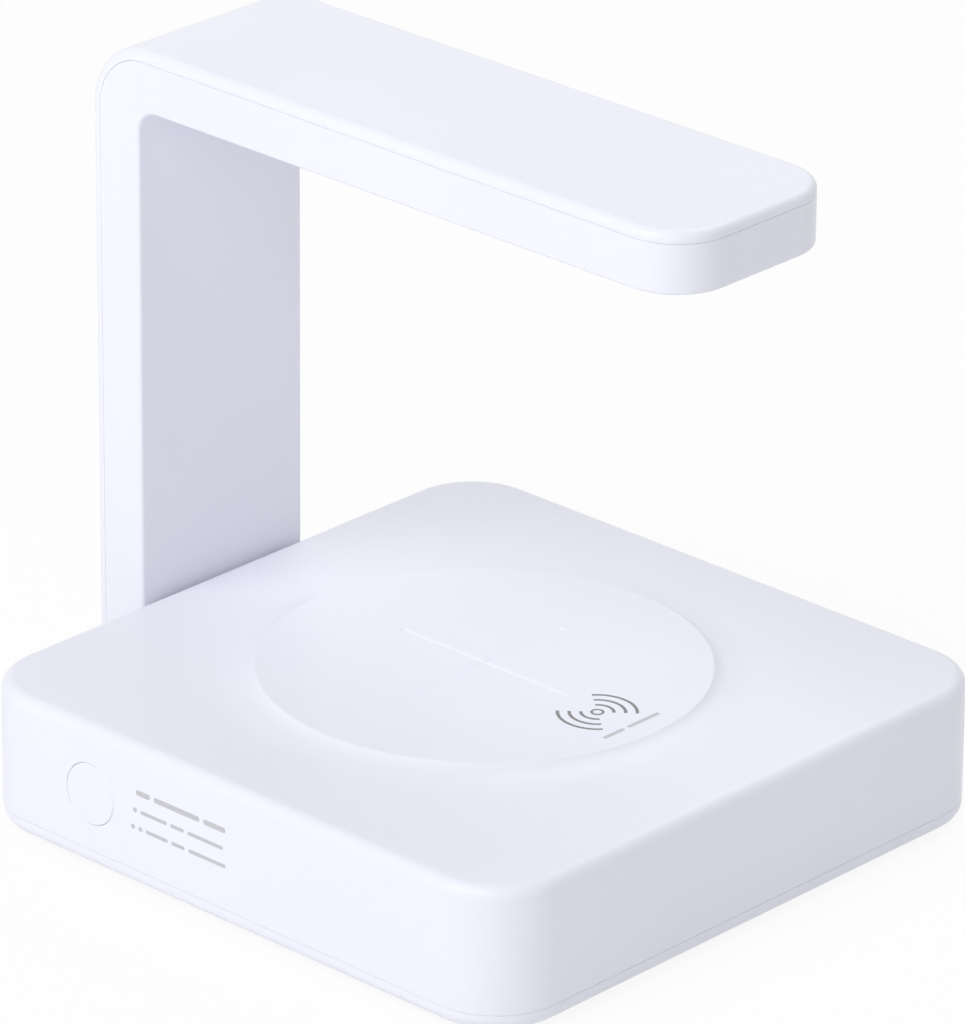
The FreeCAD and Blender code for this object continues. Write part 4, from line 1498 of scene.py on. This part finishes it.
    def add_hollow(self, skin: Skin, outside: list[Station], window: Plan) -> None:
        """Add the rim and the inside of the inner shell, and the bore of the lamp opening.

        Args:
            skin: the skin to add to.
            outside: the cuts of the outside.
            window: plan of the lamp opening.
        """
        hollow = self.stations(self.trough_low, self.trough_high, self.foot + self.wall)
        small, inside = self.seam_round, self.tip_corner - self.wall
        outer_rim = self.row(outside, self.tip_corner - small, End.HIGH, 0.0)
        inner_rim = self.row(hollow, inside, End.HIGH, 0.0)
        normals = self.facing(outside, Vector((0.0, 1.0)))
        skin.band(outer_rim, inner_rim, normals, normals)
        self.sides(skin, hollow, inside, self.wall, 0.0, -1)
        corners = [
            self.point(hollow[0], side, inside, end, rise)
            for side, end, rise in (
                (1, End.HIGH, 0.0), (1, End.LOW, self.wall),
                (-1, End.LOW, self.wall), (-1, End.HIGH, 0.0),
            )
        ]
        skin.flat(corners, Z)
        opening = window.ring(self.window_corner, -self.wall)
        self.across_face(skin, hollow, inside, End.LOW, self.wall, 1, arm_holes=[opening])
        bore = Section(self.window_corner, -self.wall).line(self.window_corner, -small)
        bore.arc(self.window_corner + small, 0.0, small, Turn.RIGHT, HAIR_STEPS)
        skin.sweep(window, bore)

    def window(self) -> Plan:
        """Return the plan of the lamp opening, on the underside of the arm."""
        centre = Vector((0.0, self.window_y, self.trough_low.arm))
        return Plan.rounded(centre, X, Y, -Z, self.window_size, self.window_corner, ROUND_STEPS)

    def neck(self) -> Plan:
        """Return the plan of the neck, on the front face of the column."""
        centre = Vector((0.0, self.trough_low.column, self.neck_z))
        return Plan.rounded(centre, X, Z, -Y, self.neck_size, self.neck_corner, ROUND_STEPS)

    def build_skin(self) -> None:
        """Build the outer skin, with its rounded rim."""
        skin = Skin()
        stations = self.stations(self.skin_low, self.skin_high, self.foot)
        reach, small, large = self.tip_corner, self.seam_round, self.skin_round
        rim = Section(reach - large, 0.0).arc(reach, -large, large, Turn.RIGHT, self.skin_steps)
        hem = Section(reach, small).arc(reach - small, 0.0, small, Turn.RIGHT, HAIR_STEPS)
        self.edge(skin, stations, End.HIGH, rim)
        self.sides(skin, stations, reach, small, -large, 1)
        self.edge(skin, stations, End.LOW, hem)
        self.foot_cap(skin, stations[0], [(End.HIGH, rim), (End.LOW, hem)])
        self.across_face(skin, stations, reach - large, End.HIGH, 0.0, 1)
        self.across_face(skin, stations, reach - small, End.LOW, 0.0, -1)
        dress(skin, "arm_skin", HOUSING, "lamp_arm_cover")


@dataclass
class LampPane:
    """Clear pane in the underside of the arm, hung on its ledge."""

    centre_y: float = LampArm.window_y
    pane_size: tuple[float, float] = (19.6, 65.6)
    pane_corner: float = 1.8
    ledge_size: tuple[float, float] = (26.0, 72.0)
    ledge_corner: float = 0.5
    low: float = 114.3
    floor: float = 115.9
    top: float = 116.9
    edge_round: float = 0.3
    edge_steps: int = 5

    def build(self) -> None:
        """Build the pane and its ledge in one closed skin."""
        skin = Skin()
        centre = Vector((0.0, self.centre_y, 0.0))
        pane = Plan.rounded(centre, X, Y, Z, self.pane_size, self.pane_corner, ROUND_STEPS)
        ledge = Plan.rounded(centre, X, Y, Z, self.ledge_size, self.ledge_corner, ROUND_STEPS)
        level = self.pane_corner - self.edge_round
        drop = Section(self.pane_corner, self.floor)
        drop.line(self.pane_corner, self.low + self.edge_round)
        drop.arc(level, self.low, self.edge_round, Turn.RIGHT, self.edge_steps)
        skin.sweep(pane, drop)
        skin.flat(pane.ring(level, self.low), -Z)
        skin.sweep(ledge, Section(self.ledge_corner, self.top).line(self.ledge_corner, self.floor))
        skin.flat(ledge.ring(self.ledge_corner, self.top), Z)
        foot = pane.ring(self.pane_corner, self.floor)
        skin.flat(ledge.ring(self.ledge_corner, self.floor), -Z, [foot])
        dress(skin, "lamp_pane", PANE, "lamp_window")


@dataclass
class SupplyInlet:
    """Formed metal shell of the supply inlet, and the contacts on its tongue."""

    place: tuple[float, float] = BaseShell.inlet_place
    mouth: float = 53.6
    size: tuple[float, float] = (8.94, 3.16)
    corner: float = 1.4
    corner_steps: int = 10
    sheet: float = 0.3
    roll_steps: int = 5
    length: float = 7.3
    back: float = 0.8
    contact_count: int = 12
    contact_pitch: float = 0.5
    contact_width: float = 0.28
    contact_corner: float = 0.084
    contact_steps: int = 3
    contact_ends: tuple[float, float] = (48.4, 52.2)
    contact_proud: float = 0.03
    tongue_half: float = 0.35

    def build(self) -> None:
        """Build the shell and its contacts."""
        self.build_shell()
        self.build_contacts()

    def build_shell(self) -> None:
        """Build the tube with its rolled mouth and closed back."""
        skin = Skin()
        centre = Vector((self.place[0], self.mouth, self.place[1]))
        plan = Plan.rounded(centre, X, Z, Y, self.size, self.corner, self.corner_steps)
        inner, roll = self.corner - self.sheet, self.sheet / 2
        tube = Section(inner, self.back - self.length).line(inner, -roll)
        tube.arc(inner + roll, 0.0, roll, Turn.RIGHT, self.roll_steps)
        tube.arc(self.corner, -roll, roll, Turn.RIGHT, self.roll_steps)
        skin.sweep(plan, tube.line(self.corner, -self.length))
        skin.flat(plan.ring(inner, self.back - self.length), Y)
        skin.flat(plan.ring(self.corner, -self.length), -Y)
        dress(skin, "inlet_shell", STEEL, "usb_socket_shell")

    def build_contacts(self) -> None:
        """Lay a row of contacts on each face of the tongue."""
        skin = Skin()
        size = (self.contact_width, self.contact_ends[1] - self.contact_ends[0])
        middle = sum(self.contact_ends) / 2
        corner = self.contact_corner
        for way in (-1, 1):
            for index in range(self.contact_count):
                x = self.place[0] + (index - (self.contact_count - 1) / 2) * self.contact_pitch
                centre = Vector((x, middle, self.place[1] + self.tongue_half * way))
                plan = Plan.rounded(centre, X * way, Y, Z * way, size, corner, self.contact_steps)
                skin.plate(plan, corner, -self.contact_proud, self.contact_proud)
        dress(skin, "inlet_contacts", GOLD)


@dataclass(frozen=True)
class PrintedRow:
    """A row of bars, with a dot for each press of the button before them."""

    start: float
    height: float
    thick: float
    bars: tuple[float, ...]
    dots: int = 0


@dataclass
class PrintedMarks:
    """Thin grey prints: a wave sign over bars on the pad, and rows of dots and bars on a wall."""

    wave_centre: tuple[float, float] = (-1.05, -32.1)
    pad_top: float = BaseShell.pad_top
    wall_face: float = PRINT_ROOM - BaseShell.side / 2
    ring_radius: float = 0.95
    ring_line: float = 0.45
    wave_radii: tuple[float, ...] = (2.7, 4.6, 6.5)
    wave_line: float = 0.56
    wave_half_angle: float = 0.88
    wave_steps: int = 28
    film: float = 0.015
    sunk: float = 0.05
    pad_row: PrintedRow = PrintedRow(-7.6, -39.5, 0.8, (4.9, 7.5))
    side_rows: tuple[PrintedRow, ...] = (
        PrintedRow(14.9, 18.2, 0.95, (3.2, 10.4, 5.0)),
        PrintedRow(15.6, 14.9, 0.65, (6.0, 3.0, 8.0), 1),
        PrintedRow(16.1, 11.8, 0.65, (5.0, 3.0, 8.4), 2),
    )
    bar_gap: float = 0.9
    bar_corner: float = 0.4
    dot_radius: float = 0.45
    dot_steps: int = 20
    dot_pitch: float = 1.7

    def build(self) -> None:
        """Print the groups of marks."""
        self.build_wave()
        pad = Skin()
        self.print_row(pad, self.pad_row, Z * self.pad_top, X, Y, Z)
        dress(pad, "pad_marks", FAINT_INK)
        side = Skin()
        for row in self.side_rows:
            self.print_row(side, row, X * self.wall_face, -Y, Z, -X)
        dress(side, "timer_marks", FAINT_INK)

    def arc_plate(self, skin: Skin, radius: float, line: float, start: float, swing: float) -> None:
        """Add one arc of the wave sign as a thin closed plate.

        Args:
            skin: the skin to add to.
            radius: radius of its middle line.
            line: width of the line.
            start: angle where it starts.
            swing: angle that it covers, a full turn for a ring.
        """
        closed = swing >= FULL_TURN
        count = self.wave_steps if closed else self.wave_steps + 1
        headings = (heading(start + swing * index / self.wave_steps) for index in range(count))
        outs = [way.to_3d() for way in headings]
        inward = [-out for out in outs]
        middle = Vector((*self.wave_centre, self.pad_top))
        outer_top, inner_top, outer_low, inner_low = (
            [middle + out * reach + Z * rise for out in outs]
            for rise in (self.film, -self.sunk)
            for reach in (radius + line / 2, radius - line / 2)
        )
        for first, second, normals in (
            (outer_top, inner_top, [Z] * count),
            (outer_low, inner_low, [-Z] * count),
            (outer_top, outer_low, outs),
            (inner_top, inner_low, inward),
        ):
            skin.band(first, second, normals, normals, closed)
        if closed:
            return
        for number, sense in ((0, -1), (-1, 1)):
            way = Z.cross(outs[number]) * sense
            corners = [row[number] for row in (outer_top, inner_top, inner_low, outer_low)]
            skin.face(corners, [way] * 4)

    def build_wave(self) -> None:
        """Print the ring and the arcs on both sides of it."""
        skin = Skin()
        self.arc_plate(skin, self.ring_radius, self.ring_line, 0.0, FULL_TURN)
        for middle in (0.0, math.pi):
            for radius in self.wave_radii:
                start = middle - self.wave_half_angle
                self.arc_plate(skin, radius, self.wave_line, start, self.wave_half_angle * 2)
        dress(skin, "wave_mark", INK)

    def print_row(
        self, skin: Skin, row: PrintedRow, face: Vector, along: Vector, up: Vector, out: Vector,
    ) -> None:
        """Print one row of dots and bars on a flat face.

        Args:
            skin: the skin to add to.
            row: the row.
            face: a point of the face.
            along: direction that the row runs in.
            up: direction of its height.
            out: the way the face looks.
        """
        # The start is a coordinate, whichever way the row runs along its axis
        here = face + along * (row.start * sum(along)) + up * row.height
        for _ in range(row.dots):
            dot = Plan.circle(here + along * self.dot_radius, along, out, self.dot_steps)
            skin.plate(dot, self.dot_radius, -self.sunk, self.film)
            here = here + along * self.dot_pitch
        corner = row.thick * self.bar_corner
        for bar in row.bars:
            centre, size = here + along * (bar / 2), (bar, row.thick)
            plan = Plan.rounded(centre, along, up, out, size, corner, ROUND_STEPS)
            skin.plate(plan, corner, -self.sunk, self.film)
            here = here + along * (bar + self.bar_gap)


@dataclass
class InnerWorks:
    """Nodes of the frame that keep their shape and only take a finish."""

    finishes: dict[str, Finish] = field(default_factory=lambda: {
        "tact_switch": DARK,
        "switch_plunger": DARK,
        "switch_board": BOARD,
        "switch_lead": LEAD,
        "main_board": BOARD,
        "control_chips": DARK,
        "resonant_capacitors": FILM,
        "power_inductor": FERRITE,
        "lead_headers": SATIN,
        "usb_socket_tongue": DARK,
        "charging_coil": COPPER,
        "ferrite_shield": FERRITE,
        "coil_leads": COPPER,
        "led_board": BOARD,
        "uv_leds": LED,
        "reflector_tray": SATIN,
        "lamp_lead": LEAD,
    })

    def build(self) -> None:
        """Give each node its finish."""
        for name, finish in self.finishes.items():
            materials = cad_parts[name].data.materials
            materials.clear()
            materials.append(finish.material())
            LOG.info("%s: kept, finished as %s", name, finish.name)


# Studio

@dataclass
class Lamp:
    """One soft studio lamp, in metres and watts."""

    name: str
    place: tuple[float, float, float]
    size: float
    watts: float
    aim: tuple[float, float, float] = (0.0, 0.0, 0.05)

    def build(self) -> None:
        """Hang the lamp and aim it."""
        data = bpy.data.lights.new(self.name, "AREA")
        data.shape = "DISK"
        data.size = self.size
        data.energy = self.watts
        made = bpy.data.objects.new(self.name, data)
        made.location = self.place
        way = Vector(self.place) - Vector(self.aim)
        made.rotation_euler = way.to_track_quat("Z", "Y").to_euler()
        bpy.context.scene.collection.objects.link(made)


@dataclass
class Studio:
    """Pale floor, soft light and the camera at the photograph's angle."""

    floor_half: float = 4.0
    floor_tint: Colour = (0.93, 0.93, 0.94)
    floor_cloud: Colour = (0.95, 0.95, 0.955)
    floor_clouds: Clouds = Clouds(3.0, 3.0)
    floor_rough: float = 0.8
    floor_shine: float = 0.1
    floor_glow: float = 0.9
    sky: float = 0.49
    lamps: tuple[Lamp, ...] = (
        Lamp("key_lamp", (-0.85, 0.1, 0.85), 1.0, 6.2),
        Lamp("front_lamp", (-0.9, -0.5, 0.6), 1.0, 1.8),
        Lamp("top_lamp", (0.7, 0.1, 1.0), 1.0, 3.2),
    )
    image_height: float = 1024.0
    focal: float = 8060.0
    sensor: float = 36.0
    distance: float = 1315.5
    azimuth: float = -46.87
    elevation: float = 24.035
    roll: float = 0.5
    target_across: float = -0.544
    target_up: float = 55.164
    clip: tuple[float, float] = (0.05, 20.0)

    def build(self) -> None:
        """Set up the stage."""
        self.build_floor()
        self.build_sky()
        for lamp in self.lamps:
            lamp.build()
        self.build_camera()
        bpy.context.scene.view_settings.view_transform = "Standard"

    @staticmethod
    def seen_ray(recipe: Recipe) -> Wire:
        """Return a mask of rays that show the backdrop: straight, in gloss or through glass.

        Args:
            recipe: the recipe to add it to.

        Returns:
            The mask.
        """
        camera, gloss, through = (
            recipe.node("ShaderNodeLightPath", out=name)
            for name in ("Is Camera Ray", "Is Glossy Ray", "Is Transmission Ray")
        )
        return recipe.math("MAXIMUM", recipe.math("MAXIMUM", camera, gloss), through)

    def build_floor(self) -> None:
        """Lay the floor, which shows almost white and keeps the shadow."""
        skin = Skin()
        skin.flat(square(Vector(), self.floor_half / MM), Z)
        floor = skin.build("floor")
        material = bpy.data.materials.new("pale_floor")
        material.use_nodes = True
        recipe = Recipe(material.node_tree)
        clouds = self.floor_clouds.lay(recipe)
        paper = recipe.node("ShaderNodeBsdfPrincipled", sockets={
            "Base Color": recipe.blend(clouds, self.floor_tint, self.floor_cloud),
            "Roughness": self.floor_rough,
            "Specular IOR Level": self.floor_shine,
        })
        glow = recipe.node("ShaderNodeEmission", sockets={"Color": WHITE, "Strength": 1.0})
        share = self.seen_ray(recipe) * self.floor_glow
        mixed = recipe.node("ShaderNodeMixShader", sockets={0: share, 1: paper, 2: glow})
        recipe.node("ShaderNodeOutputMaterial", sockets={"Surface": mixed})
        floor.data.materials.append(material)

    def build_sky(self) -> None:
        """Light the object evenly from all round, in front of white."""
        world = bpy.data.worlds.new("studio")
        world.use_nodes = True
        bpy.context.scene.world = world
        recipe = Recipe(world.node_tree)
        fill, backdrop = (
            recipe.node("ShaderNodeBackground", sockets={"Color": WHITE, "Strength": strength})
            for strength in (self.sky, 1.0)
        )
        sockets = {0: self.seen_ray(recipe), 1: fill, 2: backdrop}
        mixed = recipe.node("ShaderNodeMixShader", sockets=sockets)
        recipe.node("ShaderNodeOutputWorld", sockets={"Surface": mixed})

    def build_camera(self) -> None:
        """Place the camera where the photograph was taken from."""
        azimuth, elevation, roll = map(math.radians, (self.azimuth, self.elevation, self.roll))
        back = Vector((
            math.sin(azimuth) * math.cos(elevation),
            -math.cos(azimuth) * math.cos(elevation),
            math.sin(elevation),
        ))
        right = Vector((math.cos(azimuth), math.sin(azimuth), 0.0))
        up = back.cross(right)
        aim = right * self.target_across + Vector((0.0, BASE_Y, self.target_up))
        turned_right = right * math.cos(roll) + up * math.sin(roll)
        turned_up = up * math.cos(roll) - right * math.sin(roll)
        data = bpy.data.cameras.new("camera")
        data.sensor_width = self.sensor
        data.lens = self.focal / self.image_height * self.sensor
        data.clip_start, data.clip_end = self.clip
        made = bpy.data.objects.new("camera", data)
        turn = Matrix((turned_right, turned_up, back)).transposed().to_4x4()
        made.matrix_world = Matrix.Translation((aim + back * self.distance) * MM) @ turn
        bpy.context.scene.collection.objects.link(made)
        bpy.context.scene.camera = made


def corners(box: tuple[Vector, Vector]) -> list[list[float]]:
    """Return the two corners of a box as plain lists."""
    return [list(corner) for corner in box]


def main() -> None:
    """Build the sub-assemblies and the studio in order."""
    logging.basicConfig(level=logging.INFO, format="%(name)s: %(message)s")
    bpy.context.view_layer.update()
    for part in (
        BaseShell(), BottomTray(), Feet(), PushButton(), LampArm(), LampPane(), SupplyInlet(),
        PrintedMarks(), InnerWorks(), Studio(),
    ):
        part.build()
    bpy.context.view_layer.update()


if __name__ == "__main__":
    main()
